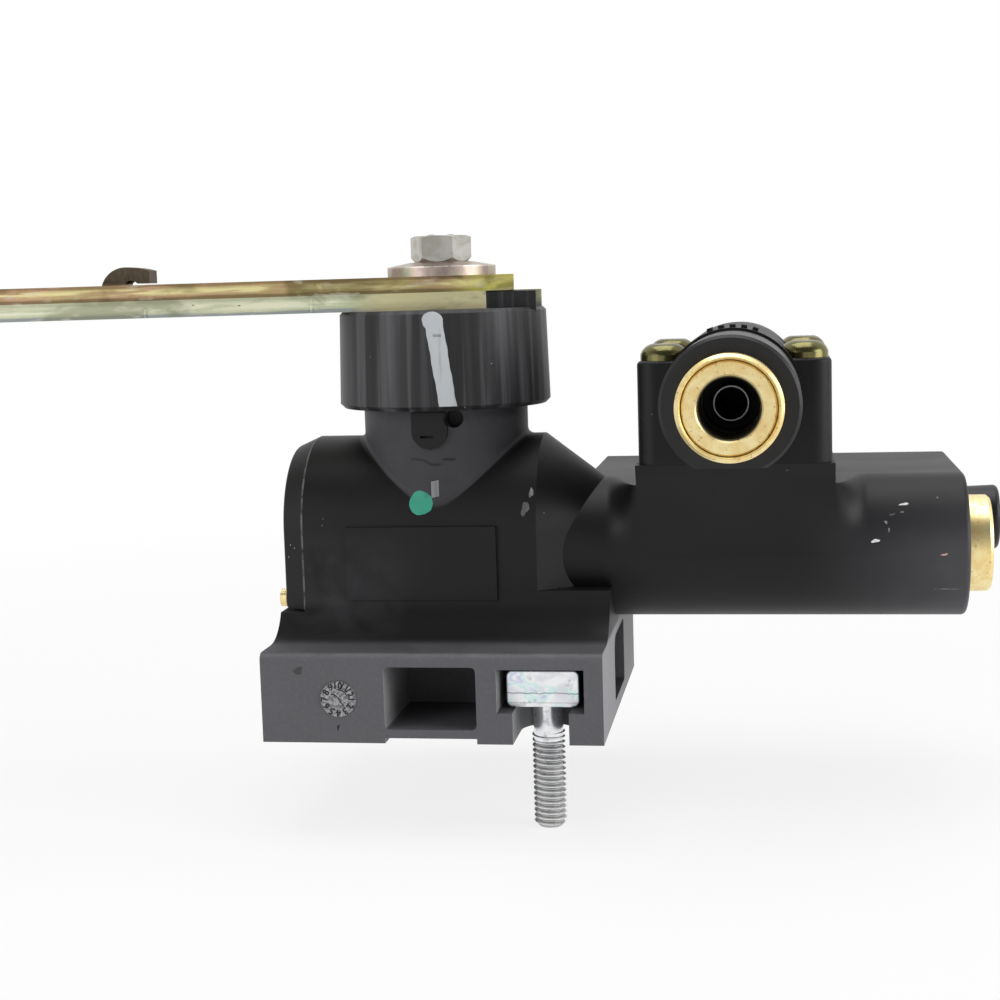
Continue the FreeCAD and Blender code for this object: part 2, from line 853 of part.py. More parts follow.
def cut_dump_bore(body):
    """The stepped bore of the dump port in the rear barrel, and its link to the end of the spool bore."""
    sketch = new_sketch(body, "XZ_Plane", -S.dump_y, (0, S.dump_z))
    depth = S.dump_depth + S.dump_seal_room + S.dump_nose_depth
    inner = S.barrel_end - depth
    start = S.dump_link_x - S.dump_passage
    points = [(start, 0), (start, S.dump_passage), (inner, S.dump_passage)]
    points += port_steps(S.barrel_end, S.dump_radius, S.dump_depth, S.dump_seal_pocket,
                         S.dump_seal_room, S.dump_nose, S.dump_nose_depth)
    add_outline(sketch, points)
    turn_feature(body, "Groove", sketch, "H_Axis")
    link = new_sketch(body, "XZ_Plane")
    add_circle(link, (S.dump_link_x, S.dump_z), S.dump_passage)
    pocket(body, link, S.dump_y)


def cut_galleries(body):
    """The galleries that feed the spool bore from the check valve, and that lead from it to the riser."""
    r = S.gallery_radius
    delivery = new_sketch(body, "YZ_Plane", S.gallery_start)
    add_circle(delivery, (0, S.gallery_z), r)
    pocket(body, delivery, S.block_x - S.gallery_start, True)
    supply = new_sketch(body, "YZ_Plane", S.stem_b)
    add_circle(supply, (0, S.supply_gallery_z), r)
    pocket(body, supply, S.supply_gallery_end - S.stem_b, True)
    down = new_sketch(body, "XY_Plane", S.gallery_z)
    add_circle(down, (S.gallery_start + r, 0), r)
    pocket(body, down, S.gallery_z - S.port_z)
    up = new_sketch(body, "XY_Plane", S.supply_gallery_z)
    add_circle(up, (S.stem_b + r, 0), r)
    add_circle(up, (S.supply_gallery_end - r, 0), r)
    pocket(body, up, S.port_z - S.supply_gallery_z, True)


def cut_neck_bore(body):
    """The shaft's bore in the neck, with the groove for the bush clip."""
    sketch = new_sketch(body, "XZ_Plane")
    run = S.shaft_radius + S.running_gap
    clip_floor = S.bush_top + S.part_gap
    clip_top = clip_floor + S.clip_thickness + 2 * S.part_gap
    groove = S.neck_bore + S.clip_reach + S.part_gap
    add_outline(sketch, [
        (0, S.port_z), (run, S.port_z), (run, S.neck_bore_floor), (S.neck_bore, S.neck_bore_floor),
        (S.neck_bore, clip_floor), (groove, clip_floor), (groove, clip_top), (S.neck_bore, clip_top),
        (S.neck_bore, S.neck_top + 1), (0, S.neck_top + 1),
    ])
    turn_feature(body, "Groove", sketch, "V_Axis")
    hole = new_sketch(body, "XZ_Plane", S.neck_radius + S.tongue_proud)
    add_circle(hole, (S.pin_hole_x, S.pin_hole_z), S.pin_hole_radius)
    pocket(body, hole, S.neck_radius - S.neck_bore - S.pin_hole_wall)
    slit = new_sketch(body, "XZ_Plane", S.neck_radius + S.tongue_proud + 1)
    add_box(slit, (S.slit_x - S.slit_length / 2, S.slit_z - S.slit_height / 2),
            (S.slit_x + S.slit_length / 2, S.slit_z + S.slit_height / 2))
    pocket(body, slit, S.tongue_proud + 1 + S.slit_depth)


def cut_riser(body):
    """The riser's delivery port with its seal groove, and the screw holes round it."""
    top = new_sketch(body, "XY_Plane", S.riser_top)
    add_circle(top, (S.block_x, 0), S.riser_port)
    pocket(body, top, S.riser_top - S.gallery_z)
    groove = new_sketch(body, "XY_Plane", S.riser_top)
    add_circle(groove, (S.block_x, 0), S.seal_groove_in)
    add_circle(groove, (S.block_x, 0), S.seal_groove_out)
    pocket(body, groove, S.seal_groove_depth)
    holes = new_sketch(body, "XY_Plane", S.riser_top)
    for x, y in screw_places():
        add_circle(holes, (x, y), S.screw_radius)
    pocket(body, holes, S.screw_bite)


def screw_places():
    """Where the four manifold screws stand, as (x, y)."""
    return [(S.block_x + i * HALF_PITCH, j * HALF_PITCH) for i in (-1, 1) for j in (-1, 1)]


def make_valve_body():
    """The moulded body of the valve."""
    body = new_body("valve_body")
    build_base(body)
    build_chamber(body)
    build_barrels(body)
    build_marks(body)
    fillet(body, S.barrel_end_edge, lambda e: all_points(e, lambda p: near(p.x, S.barrel_end.value)))
    cut_base(body)
    cut_t_slot(body, -1)
    cut_t_slot(body, 1)
    cut_cap_seat(body)
    cut_long_bore(body)
    cut_dump_bore(body)
    cut_neck_bore(body)
    cut_riser(body)
    cut_galleries(body)


def make_end_cap():
    """The cap that closes the damper chamber, with its spigot, seal and screws."""
    body = new_body("end_cap")
    seam = new_sketch(body, "YZ_Plane", -S.chamber_left)
    add_outline(seam, *arch_outline(S.chamber_radius, CHAMBER_Z, S.cap_floor))
    face = new_sketch(body, "YZ_Plane", -CAP_FACE)
    add_outline(face, *arch_outline(S.chamber_radius - S.cap_draft, CHAMBER_Z, S.cap_floor))
    loft(body, seam, face)
    fillet(body, S.cap_edge, lambda e: all_points(e, lambda p: near(p.x, -CAP_FACE.value)))
    spigot = new_sketch(body, "YZ_Plane", -S.chamber_left)
    add_circle(spigot, (0, S.port_z), S.damper_radius - S.wall_gap)
    pad(body, spigot, S.cap_spigot)
    groove = new_sketch(body, "XZ_Plane", 0, (0, S.port_z))
    middle = -S.chamber_left + S.cap_spigot / 2
    floor = S.damper_radius - 2 * S.seal_section
    add_box(groove, (middle - S.seal_section, floor), (middle + S.seal_section, S.damper_radius))
    turn_feature(body, "Groove", groove, "H_Axis")
    holes = new_sketch(body, "YZ_Plane", -CAP_FACE)
    for y, z in cap_screw_places():
        add_circle(holes, (y, z), S.cap_screw_radius + S.wall_gap)
    pocket(body, holes, S.cap_thickness, True)
    ring("end_cap_seal", S.damper_radius - S.seal_section, S.seal_section - S.part_gap,
         (middle, 0, S.port_z), RIGHT)
    screws = new_body("end_cap_screws")
    for y, z in cap_screw_places():
        head = new_sketch(screws, "YZ_Plane", -CAP_FACE)
        add_circle(head, (y, z), S.cap_screw_head)
        pad(screws, head, S.cap_screw_head_height, True)
        shank = new_sketch(screws, "YZ_Plane", -CAP_FACE)
        add_circle(shank, (y, z), S.cap_screw_radius - S.part_gap)
        pad(screws, shank, S.cap_thickness + S.cap_screw_length - 1)


def make_shaft_parts():
    """The control shaft with its crank pin, and the bush, seal, clip and thrust washer round it."""
    shaft = turned("control_shaft", [
        (0, S.shaft_foot), (S.shaft_radius, S.shaft_foot), (S.shaft_radius, S.collar_floor),
        (S.collar_radius, S.collar_floor), (S.collar_radius, S.collar_top), (S.shaft_radius, S.collar_top),
        (S.shaft_radius, S.drive_foot), (S.drive_radius, S.drive_foot), (S.drive_radius, S.hub_top),
        (S.stud_radius, S.hub_top), (S.stud_radius, S.stud_top - S.edge_break),
        (S.stud_radius - S.edge_break, S.stud_top), (0, S.stud_top),
    ], swing=S.lever_angle)
    flats = new_sketch(shaft, "XY_Plane", S.drive_foot)
    reach = S.drive_radius + 1
    add_box(flats, (S.drive_flat, -reach), (reach, reach))
    add_box(flats, (-reach, -reach), (-S.drive_flat, reach))
    pocket(shaft, flats, S.hub_top - S.drive_foot, True)
    crank = new_sketch(shaft, "XY_Plane", S.crank_foot)
    add_circle(crank, (-S.eccentric * sine(S.lever_angle), -S.eccentric * cosine(S.lever_angle)),
               S.crank_radius)
    pad(shaft, crank, S.shaft_foot - S.crank_foot + 1)
    run = S.shaft_radius + S.running_gap
    turned("neck_bush", [(run, S.bush_floor), (S.neck_bore - S.part_gap, S.bush_floor),
                         (S.neck_bore - S.part_gap, S.bush_top), (run, S.bush_top)])
    ring("shaft_seal", (run + S.neck_bore) / 2, S.seal_section, (0, 0, S.neck_bore_floor + S.seal_section))
    clip_floor = S.bush_top + 2 * S.part_gap
    outer = S.neck_bore + S.clip_reach
    clip = turned("bush_clip", [(outer - S.clip_width, clip_floor), (outer, clip_floor),
                                (outer, clip_floor + S.clip_thickness),
                                (outer - S.clip_width, clip_floor + S.clip_thickness)])
    gap = new_sketch(clip, "XY_Plane", clip_floor + S.clip_thickness)
    add_box(gap, (-S.clip_width, 0), (S.clip_width, outer + 1))
    pocket(clip, gap, S.clip_thickness)
    turned("thrust_washer", [(S.thrust_inner, S.neck_top), (S.thrust_outer, S.neck_top),
                             (S.thrust_outer, S.neck_top + S.thrust_thickness),
                             (S.thrust_inner, S.neck_top + S.thrust_thickness)])


def make_hub():
    """The hub that turns on the neck: a deep cap with a drafted skirt and a driving lug."""
    hub = turned("lever_hub", [
        (S.hub_skirt_bore, S.hub_floor), (S.hub_radius - S.hub_chamfer, S.hub_floor),
        (S.hub_radius, S.hub_floor + S.hub_chamfer), (S.hub_top_radius, S.hub_top - S.hub_edge),
        (S.hub_top_radius - S.hub_edge, S.hub_top), (0, S.hub_top), (0, S.hub_web_floor),
        (S.hub_skirt_bore, S.hub_web_floor),
    ], swing=S.lever_angle)
    eye = new_sketch(hub, "XY_Plane", S.hub_top)
    r = S.drive_radius + S.part_gap
    flat = S.drive_flat + S.part_gap
    side = root(r * r - flat * flat)
    add_outline(eye, [(flat, -side), (flat, side), (-flat, side), (-flat, -side)],
                {1: (r, 1), 3: (r, 1)})
    pocket(hub, eye, S.hub_top - S.hub_web_floor)
    lug = new_sketch(hub, "XY_Plane", S.hub_top - 1)
    add_box(lug, (S.lug_left, -S.lug_front), (S.lug_right, -S.lug_rear))
    pad(hub, lug, S.lug_height + 1)


def strap_outline(sketch, reach, right, notch=None):
    """A strap's outline in plan: round at the far left end, square or notched at the hub end."""
    half = S.plate_width / 2
    points = [(-reach + half, -half)]
    if notch:
        points += [(notch, -half), (notch, -S.notch_rear), (right, -S.notch_rear)]
    else:
        points += [(right, -half)]
    points += [(right, half), (-reach + half, half)]
    add_outline(sketch, points, {len(points) - 1: (half, 1)})


def add_slot(sketch, x, length, radius):
    """A slot along X with round ends, centred at x."""
    a, b = x - length / 2, x + length / 2
    add_outline(sketch, [(a, -radius), (b, -radius), (b, radius), (a, radius)],
                {1: (radius, 1), 3: (radius, 1)})


def make_lever():
    """The two straps of the lever, with the curled tab lanced from the upper one."""
    lower = new_body("lever_lower_plate", swing=S.lever_angle)
    plan = new_sketch(lower, "XY_Plane", S.hub_top)
    strap_outline(plan, S.lower_reach, S.lower_right, S.lower_notch)
    add_circle(plan, (0, 0), S.stud_hole)
    add_circle(plan, (-CLAMP_REACH, 0), S.clamp_hole)
    pad(lower, plan, S.lower_thickness)
    upper = new_body("lever_upper_plate", swing=S.lever_angle)
    plan = new_sketch(upper, "XY_Plane", PLATE_TOP)
    strap_outline(plan, S.upper_reach, S.upper_right)
    add_circle(plan, (0, 0), S.stud_hole)
    add_circle(plan, (-S.upper_reach + S.link_inset, 0), S.link_hole)
    add_slot(plan, -CLAMP_REACH, S.clamp_slot, S.clamp_hole)
    half = S.tab_width / 2 + S.wall_gap
    add_box(plan, (-S.tab_left + S.tab_root, -half), (-S.tab_right + S.tab_gap, half))
    pad(upper, plan, S.upper_thickness)
    build_tab(upper)


def build_tab(upper):
    """The tongue that is lanced from the upper strap, stands up from it and curls over to the right."""
    top = LEVER_TOP + S.tab_height
    under = LEVER_TOP + S.tab_gap
    foot = -S.tab_left + S.tab_root
    middle = -(S.tab_left + S.tab_right) / 2
    half = (S.tab_left - S.tab_right) / 2
    root_z = LEVER_TOP - S.upper_thickness / 2
    side = new_sketch(upper, "XZ_Plane", -S.tab_width / 2)
    add_outline(
        side,
        [(-S.tab_left, root_z), (foot, root_z), (foot, under), (foot + S.tab_arch, under),
         (-S.tab_right, under), (-S.tab_right, top - S.tab_drop), (middle, top), (-S.tab_left, LEVER_TOP)],
        {2: (arc_radius(S.tab_arch / 2, S.tab_arch_rise), -1), 5: (arc_radius(half, S.tab_drop), 1),
         6: (arc_radius(half, S.tab_height), 1)},
    )
    pad(upper, side, S.tab_width)


def hex_outline(flats, turn):
    """Six corners of a nut with the given width across flats, turned by an angle in degrees."""
    reach = flats / 2 / math.cos(math.radians(30))
    return [(reach * math.cos(math.radians(turn + 60 * i)), reach * math.sin(math.radians(turn + 60 * i)))
            for i in range(6)]


def make_nut(label, place, flats, height, bore, turn):
    """A hexagon nut with bevelled corners, more at its lower face than at its upper one."""
    nut = new_body(label, place)
    plan = new_sketch(nut, "XY_Plane")
    add_outline(plan, hex_outline(flats, turn))
    add_circle(plan, (0, 0), bore)
    pad(nut, plan, height)
    rim = new_sketch(nut, "XZ_Plane")
    inner = flats / 2 - S.wall_gap
    outer = flats / 2 + S.nut_bevel_reach
    add_outline(rim, [(inner, height + S.part_gap), (outer, height - S.nut_top_bevel),
                      (outer, height + S.part_gap)])
    add_outline(rim, [(inner, -S.part_gap), (outer, -S.part_gap), (outer, S.nut_foot_bevel)])
    turn_feature(nut, "Groove", rim, "V_Axis")
    return nut


def make_lever_fasteners():
    """The cone washer and nut on the shaft's stud, and the bolt and nut that clamp the straps."""
    rim = LEVER_TOP + S.washer_rim
    turned("cone_washer", [
        (S.washer_bore, LEVER_TOP + S.washer_rise), (S.washer_radius - 1, LEVER_TOP),
        (S.washer_radius, LEVER_TOP), (S.washer_radius, rim),
        (S.washer_radius - S.edge_break, rim + S.wall_gap),
        (S.nut_flats / 2 + S.nut_bevel_reach, WASHER_TOP), (S.washer_bore, WASHER_TOP),
    ])
    make_nut("lever_nut", (0, 0, WASHER_TOP), S.nut_flats, S.nut_height, S.nut_bore, S.nut_turn.value)
    under = S.hub_top - S.clamp_head_height
    reach = LEVER_TOP + S.clamp_nut_height + S.clamp_spare
    x, y = -CLAMP_REACH * cosine(S.lever_angle), -CLAMP_REACH * sine(S.lever_angle)
    turned("lever_clamp_bolt", [
        (0, under), (S.clamp_dome, under), (S.clamp_head, S.hub_top - S.clamp_rim), (S.clamp_head, S.hub_top),
        (S.clamp_radius, S.hub_top), (S.clamp_radius, reach - S.edge_break),
        (S.clamp_radius - S.edge_break, reach), (0, reach),
    ], (x, y, 0), UP, {1: (S.clamp_dome_round, 1)})
    make_nut("lever_clamp_nut", (x, y, LEVER_TOP), S.clamp_nut_flats, S.clamp_nut_height,
             S.clamp_radius + S.part_gap, S.clamp_nut_turn.value)


def polar(centre, radius, angle):
    """A bound point at an angle in degrees from a centre."""
    angle = as_dim(angle)
    return (centre[0] + radius * cosine(angle), centre[1] + radius * sine(angle))


def make_block():
    """The manifold block: a square casting crossed by a round boss, with two rows of grip ribs."""
    block = new_body("manifold_block")
    half_w, half_d = S.block_width / 2, S.block_depth / 2
    plan = new_sketch(block, "XY_Plane", S.riser_top)
    add_outline(plan, *round_box((S.block_x - half_w, -half_d), (S.block_x + half_w, half_d), S.block_corner))
    pad(block, plan, S.block_top - S.riser_top)
    fillet(block, S.block_edge, lambda e: all_points(e, lambda p: near(p.z, S.block_top.value)))
    boss = new_sketch(block, "XZ_Plane", -S.boss_reach)
    add_circle(boss, (S.block_x, S.fitting_z), S.boss_radius)
    pad(block, boss, 2 * S.boss_reach)
    under = new_sketch(block, "XY_Plane", S.riser_top)
    reach = S.boss_reach + 1
    add_box(under, (S.block_x - S.boss_radius, -reach), (S.block_x + S.boss_radius, reach))
    pocket(block, under, S.boss_radius)
    centre = (S.block_x, S.fitting_z)
    inner, outer = S.boss_radius - S.rib_root, S.boss_radius + S.rib_height
    for row in (0, 1):
        front = S.boss_reach - S.rib_inset - row * (S.rib_length + S.rib_row_gap)
        ribs = new_sketch(block, "XZ_Plane", front - S.rib_length)
        for place in (-2, -1, 0, 1, 2):
            angle = 90 + place * S.rib_pitch
            add_outline(ribs, [
                polar(centre, inner, angle - S.rib_foot), polar(centre, outer, angle - S.rib_tip),
                polar(centre, outer, angle + S.rib_tip), polar(centre, inner, angle + S.rib_foot),
            ])
        pad(block, ribs, S.rib_length)
    seats = new_sketch(block, "XY_Plane", S.fitting_z + S.boss_radius)
    for x, y in screw_places():
        add_circle(seats, (x, y), S.screw_head + S.screw_head_room)
    pocket(block, seats, S.fitting_z + S.boss_radius - S.block_top)
    holes = new_sketch(block, "XY_Plane", S.block_top + 1)
    for x, y in screw_places():
        add_circle(holes, (x, y), S.screw_radius + S.screw_clearance)
    pocket(block, holes, S.block_top - S.riser_top + 2)
    feed = new_sketch(block, "XY_Plane", S.riser_top + S.feed_chamber)
    add_circle(feed, (S.block_x, 0), S.riser_port)
    pocket(block, feed, S.feed_chamber + 1)
    rises = new_sketch(block, "XY_Plane", S.fitting_z)
    for side in (-1, 1):
        add_circle(rises, (S.block_x, side * S.feed_hole_y), S.feed_hole)
    pocket(block, rises, S.fitting_z - S.riser_top)
    for backward, face in ((False, S.boss_reach + 1), (True, -S.boss_reach - 1)):
        passage = new_sketch(block, "XZ_Plane", face)
        add_circle(passage, centre, S.passage_radius)
        pocket(block, passage, S.boss_reach + 1 - S.bore_wall / 2, backward)
        bore = new_sketch(block, "XZ_Plane", face)
        add_circle(bore, centre, S.cartridge_radius + S.wall_gap)
        pocket(block, bore, S.spigot_depth + 1 + S.wall_gap, backward)
    middle = (S.seal_groove_in + S.seal_groove_out) / 2
    ring("manifold_seal", middle, S.seal_groove_depth / 2 - S.part_gap,
         (S.block_x, 0, S.riser_top - S.seal_groove_depth / 2))


def make_manifold_screws():
    """Four pan head screws that hold the block down, as one group."""
    screws = new_body("manifold_screws")
    for x, y in screw_places():
        profile = new_sketch(screws, "XZ_Plane", -y, (x, S.block_top))
        top = S.screw_head_height
        low = -(S.block_top - S.riser_top) - S.screw_bite + S.screw_end_gap
        rod = S.screw_radius - S.part_gap
        add_outline(profile, [(0, low), (rod, low), (rod, 0), (S.screw_head, 0),
                              (S.screw_head, S.screw_head_rim), (S.screw_head_flat, top), (0, top)],
                    {4: (S.screw_head_round, 1)})
        turn_feature(screws, "Revolution", profile, "V_Axis")
    slots = new_sketch(screws, "XY_Plane", S.block_top + S.screw_head_height)
    for x, y in screw_places():
        add_box(slots, (x - S.screw_head, y - S.drive_slot / 2), (x + S.screw_head, y + S.drive_slot / 2))
    pocket(screws, slots, S.drive_depth)


def make_sleeve(name, y_sign, direction):
    """The black sleeve that carries a tube fitting in the manifold block, with its seal."""
    back = FITTING_BACK
    foot = back + S.spigot_depth
    spigot = S.cartridge_radius + S.part_gap
    seal_top = back + S.sleeve_seal_start
    seal_low = seal_top + 2 * S.seal_section
    inner = spigot - 2 * S.seal_section + S.wall_gap
    seat, groove = S.cartridge_depth, S.cartridge_depth + S.seal_room
    nose = groove + S.nose_depth
    base = (S.block_x, y_sign * S.sleeve_face, S.fitting_z)
    sleeve = turned(name + "_sleeve", [
        (S.cartridge_radius + S.part_gap, 0), (S.sleeve_radius - S.sleeve_edge, 0),
        (S.sleeve_radius, -S.sleeve_edge), (S.sleeve_radius, -back), (spigot, -back),
        (spigot, -seal_top), (inner, -seal_top), (inner, -seal_low), (spigot, -seal_low), (spigot, -foot),
        (S.passage_radius, -foot), (S.passage_radius, -nose), (S.nose_radius, -nose), (S.nose_radius, -groove),
        (S.seal_pocket, -groove), (S.seal_pocket, -seat), (S.cartridge_radius + S.part_gap, -seat),
    ], base, direction)
    flat = new_sketch(sleeve, "XY_Plane", 1)
    drop = S.sleeve_radius + 1
    low, high = (-drop, -S.sleeve_flat) if y_sign < 0 else (S.sleeve_flat, drop)
    add_box(flat, (-drop, low), (drop, high))
    pocket(sleeve, flat, back + 1 - S.part_gap)
    ring(name + "_sleeve_seal", inner + S.seal_section - S.part_gap, S.seal_section - S.part_gap,
         (S.block_x, y_sign * (S.sleeve_face - seal_top - S.seal_section), S.fitting_z), direction)
    return sleeve


def make_retainer(name, base, direction, proud, rim, outer, tail, inset, ledge):
    """A fitting's retainer: a sleeve whose inner lip holds the bead of the release collet."""
    lip_low = -inset + S.bead_length + S.bead_rise
    lip_top = lip_low + S.lip_length
    lip = tail + S.lip_gap
    cavity = tail + S.bead_rise + S.lip_gap
    points = [(outer - S.rim_edge, proud), (outer, proud - S.edge_break), (outer, -ledge), (cavity, -ledge),
              (cavity, lip_low), (lip, lip_low + S.wall_gap), (lip, lip_top)]
    if rim is None:
        points += [(lip + S.lip_slope, proud)]
    else:
        points += [(rim, lip_top + rim - lip), (rim, proud - S.lip_slope), (rim + S.lip_gap, proud)]
    turned(name + "_retainer", points, base, direction)


def collet_foot(bore, tail, inset):
    """The inner end of a release collet: a thin sleeve with a bead, up to where its button starts."""
    bead = tail + S.bead_rise
    return [(bore, -inset), (bead - S.bead_edge, -inset), (bead, -inset + S.small_edge),
            (bead, -inset + S.bead_length), (tail, -inset + S.bead_length + S.bead_rise / 2)]


def make_grab_ring(name, base, direction, hole, bend, outer, ledge):
    """A thin toothed ring, dished towards the mouth, that grips the tube."""
    dish, thick = S.grab_dish, S.grab_thickness
    turned(name + "_grab_ring", [
        (hole, dish - ledge), (bend, -ledge), (outer, -ledge), (outer, -ledge - thick),
        (bend, -ledge - thick), (hole, dish - ledge - thick),
    ], base, direction)


def make_tube_support(name, base, direction, bore, flange, radius, foot, inset):
    """The tube support: a thin pipe that stands inside the tube, on a flange at the bore's foot."""
    turned(name + "_tube_support", [
        (bore, -foot), (flange, -foot), (flange, -foot + S.support_flange),
        (radius, -foot + S.support_flange), (radius, -inset - S.small_edge),
        (radius - S.small_edge / 2, -inset), (bore, -inset),
    ], base, direction)


def make_cartridge(name, base, direction, proud):
    """A 3/8 inch push-in tube fitting: retainer, release collet, grab ring, seal and tube support."""
    seat, groove = S.cartridge_depth, S.cartridge_depth + S.seal_room
    ledge = seat - S.grab_thickness
    face = proud - S.button_recess
    under = face - S.button_thickness
    make_retainer(name, base, direction, proud, S.button_radius + S.button_gap, S.cartridge_radius,
                  S.collet_tail, S.collet_inset, ledge)
    turned(name + "_collet", collet_foot(S.tube_bore, S.collet_tail, S.collet_inset) + [
        (S.collet_tail, under), (S.button_radius, under), (S.button_radius, face - S.small_edge),
        (S.button_radius - S.small_edge, face), (S.tube_bore + S.rim_edge, face),
        (S.tube_bore, face - S.rim_edge),
    ], base, direction)
    make_grab_ring(name, base, direction, S.grab_hole, S.collet_tail, S.cartridge_radius - S.part_gap, ledge)
    depth = -(seat + groove) / 2
    ring(name + "_tube_seal", S.seal_pocket - S.tube_seal_section - S.part_gap, S.tube_seal_section,
         tuple(as_dim(b) + d * depth for b, d in zip(base, direction)), direction)
    make_tube_support(name, base, direction, S.support_bore, S.nose_radius - S.part_gap, S.support_radius,
                      groove + S.nose_depth, S.support_inset)


def make_dump_port():
    """The 1/4 inch push-in fitting of the dump port, with a long black button."""
    name, base = "dump_port", (S.barrel_end, S.dump_y, S.dump_z)
    seat = S.dump_depth
    ledge = seat - S.grab_thickness
    groove = seat + S.dump_seal_room
    outer = S.dump_radius - S.part_gap
    make_retainer(name, base, RIGHT, as_dim(0), None, outer, S.dump_tail, S.dump_inset, ledge)
    turned(name + "_collet", collet_foot(S.dump_tube_bore, S.dump_tail, S.dump_inset) + [
        (S.dump_tail, S.dump_button_start), (S.dump_button - S.dump_draft, S.dump_button_start),
        (S.dump_button, S.dump_proud - S.dump_round), (S.dump_button - S.dump_round, S.dump_proud),
        (S.dump_tube_bore + S.edge_break, S.dump_proud), (S.dump_tube_bore, S.dump_proud - S.edge_break),
    ], base, RIGHT, {7: (S.dump_round, 1)})
    make_grab_ring(name, base, RIGHT, S.dump_grab_hole, S.dump_tail, outer, ledge)
    ring(name + "_tube_seal", S.dump_seal_pocket - S.dump_seal_section - S.part_gap, S.dump_seal_section,
         (S.barrel_end - (seat + groove) / 2, S.dump_y, S.dump_z), RIGHT)
    make_tube_support(name, base, RIGHT, S.dump_support_bore, S.dump_nose - S.part_gap, S.dump_support,
                      groove + S.dump_nose_depth, S.dump_support_inset)


def make_ports():
    """The four tube fittings: front and rear delivery, supply and dump."""
    for name, sign, direction in (("front_port", -1, FRONT), ("rear_port", 1, REAR)):
        make_sleeve(name, sign, direction)
        make_cartridge(name, (S.block_x, sign * S.sleeve_face, S.fitting_z), direction, S.port_proud)
    make_cartridge("supply_port", (S.barrel_end, 0, S.port_z), RIGHT, S.supply_proud)
    make_dump_port()


def make_spool():
    """The spool with its crank slot and lands, the damper piston and their sealing rings."""
    spool = new_body("spool")
    half = new_sketch(spool, "XZ_Plane", 0, (0, S.port_z))
    r, stem = S.spool_radius, S.spool_stem
    groove = S.spool_seal_section
    floor = S.spool_bore - 2 * S.spool_seal_section - S.part_gap
    points = [(-S.piston_right, 0), (-S.piston_right, S.piston_rod), (-S.land_a, S.piston_rod)]
    lands = [(-S.land_a, -S.slot_block, stem, r), (S.land_b_start, S.land_b_end, stem, stem),
             (S.land_c_start, S.land_c_end, stem, stem)]
    for start, end, _, after in lands:
        middle = (start + end) / 2
        points += [(start, r), (middle - groove, r), (middle - groove, floor), (middle + groove, floor),
                   (middle + groove, r)]
        if after is r:
            points += [(S.stem_b, r), (S.stem_b, stem), (S.land_b_start, stem)]
        elif end is S.land_b_end:
            points += [(end, r), (end, stem), (S.land_c_start, stem)]
        else:
            points += [(end, r), (end, 0)]
    add_outline(half, points)
    turn_feature(spool, "Revolution", half, "H_Axis")
    slot = new_sketch(spool, "XZ_Plane", -S.spool_bore - 1)
    add_box(slot, (-S.spool_slot / 2, S.spool_slot_floor), (S.spool_slot / 2, S.port_z + S.spool_bore))
    pocket(spool, slot, 2 * S.spool_bore + 2, True)
    seals = new_body("spool_seals", (0, 0, S.port_z))
    for start, end, _, _ in lands:
        section = new_sketch(seals, "XZ_Plane")
        add_circle(section, ((start + end) / 2, S.spool_bore - S.spool_seal_section - S.ring_gap),
                   S.spool_seal_section - S.ring_trim)
        turn_feature(seals, "Revolution", section, "H_Axis")
    outer = S.damper_radius - S.piston_gap
    middle = (S.piston_left - S.piston_right) / 2
    thick = S.piston_left - S.piston_right
    base = (-S.piston_left, 0, S.port_z)
    section = S.piston_seal_section
    floor = S.damper_radius - 2 * section - S.part_gap
    turned("damper_piston", [
        (0, 0), (outer, 0), (outer, middle - section), (floor, middle - section), (floor, middle + section),
        (outer, middle + section), (outer, thick), (0, thick),
    ], base, RIGHT)
    ring("damper_ring", S.damper_radius - section - S.ring_gap, section - S.ring_trim,
         (-S.piston_left + middle, 0, S.port_z), RIGHT)


def make_check_valve():
    """The check valve of the supply line: seat, poppet and spring, and the filter behind the port."""
    base = (0, 0, S.port_z)
    right = S.check_seat - S.poppet_seat_gap
    left = right - S.poppet_length
    turned("check_poppet", [
        (0, left - S.poppet_stem_length), (S.poppet_stem, left - S.poppet_stem_length), (S.poppet_stem, left),
        (S.poppet_radius, left), (S.poppet_radius, right - S.edge_break),
        (S.poppet_radius - S.edge_break, right), (0, right),
    ], base, RIGHT)
    outer = S.check_bore - S.part_gap
    end = S.check_seat + S.check_seat_length
    turned("check_seat", [
        (S.check_seat_hole, S.check_seat), (outer, S.check_seat), (outer, end),
        (S.check_seat_hole + S.edge_break, end), (S.check_seat_hole, end - S.edge_break),
    ], base, RIGHT)
    low = S.check_start + S.check_wire + S.part_gap
    high = left - S.check_wire - S.part_gap
    spring = new_body("check_spring", (low, 0, S.port_z), RIGHT)
    section = new_sketch(spring, "XZ_Plane")
    add_circle(section, (S.check_coil, 0), S.check_wire)
    coil = spring.newObject("PartDesign::AdditiveHelix", "Coil")
    coil.Profile = section
    coil.ReferenceAxis = (section, ["V_Axis"])
    coil.Mode = "height-turns-angle"
    bind(coil, "Height", high - low)
    bind(coil, "Turns", S.check_turns)
    spring.Tip = coil
    face = S.barrel_end - PORT_DEPTH - S.filter_thickness - S.wall_gap
    screen = new_body("supply_filter", (face, 0, S.port_z), RIGHT)
    disc = new_sketch(screen, "XY_Plane")
    add_circle(disc, (0, 0), outer)
    add_circle(disc, (0, 0), S.filter_hole)
    for i in range(6):
        add_circle(disc, polar((as_dim(0), as_dim(0)), S.filter_hole_circle, 60 * i), S.filter_hole)
    pad(screen, disc, S.filter_thickness)


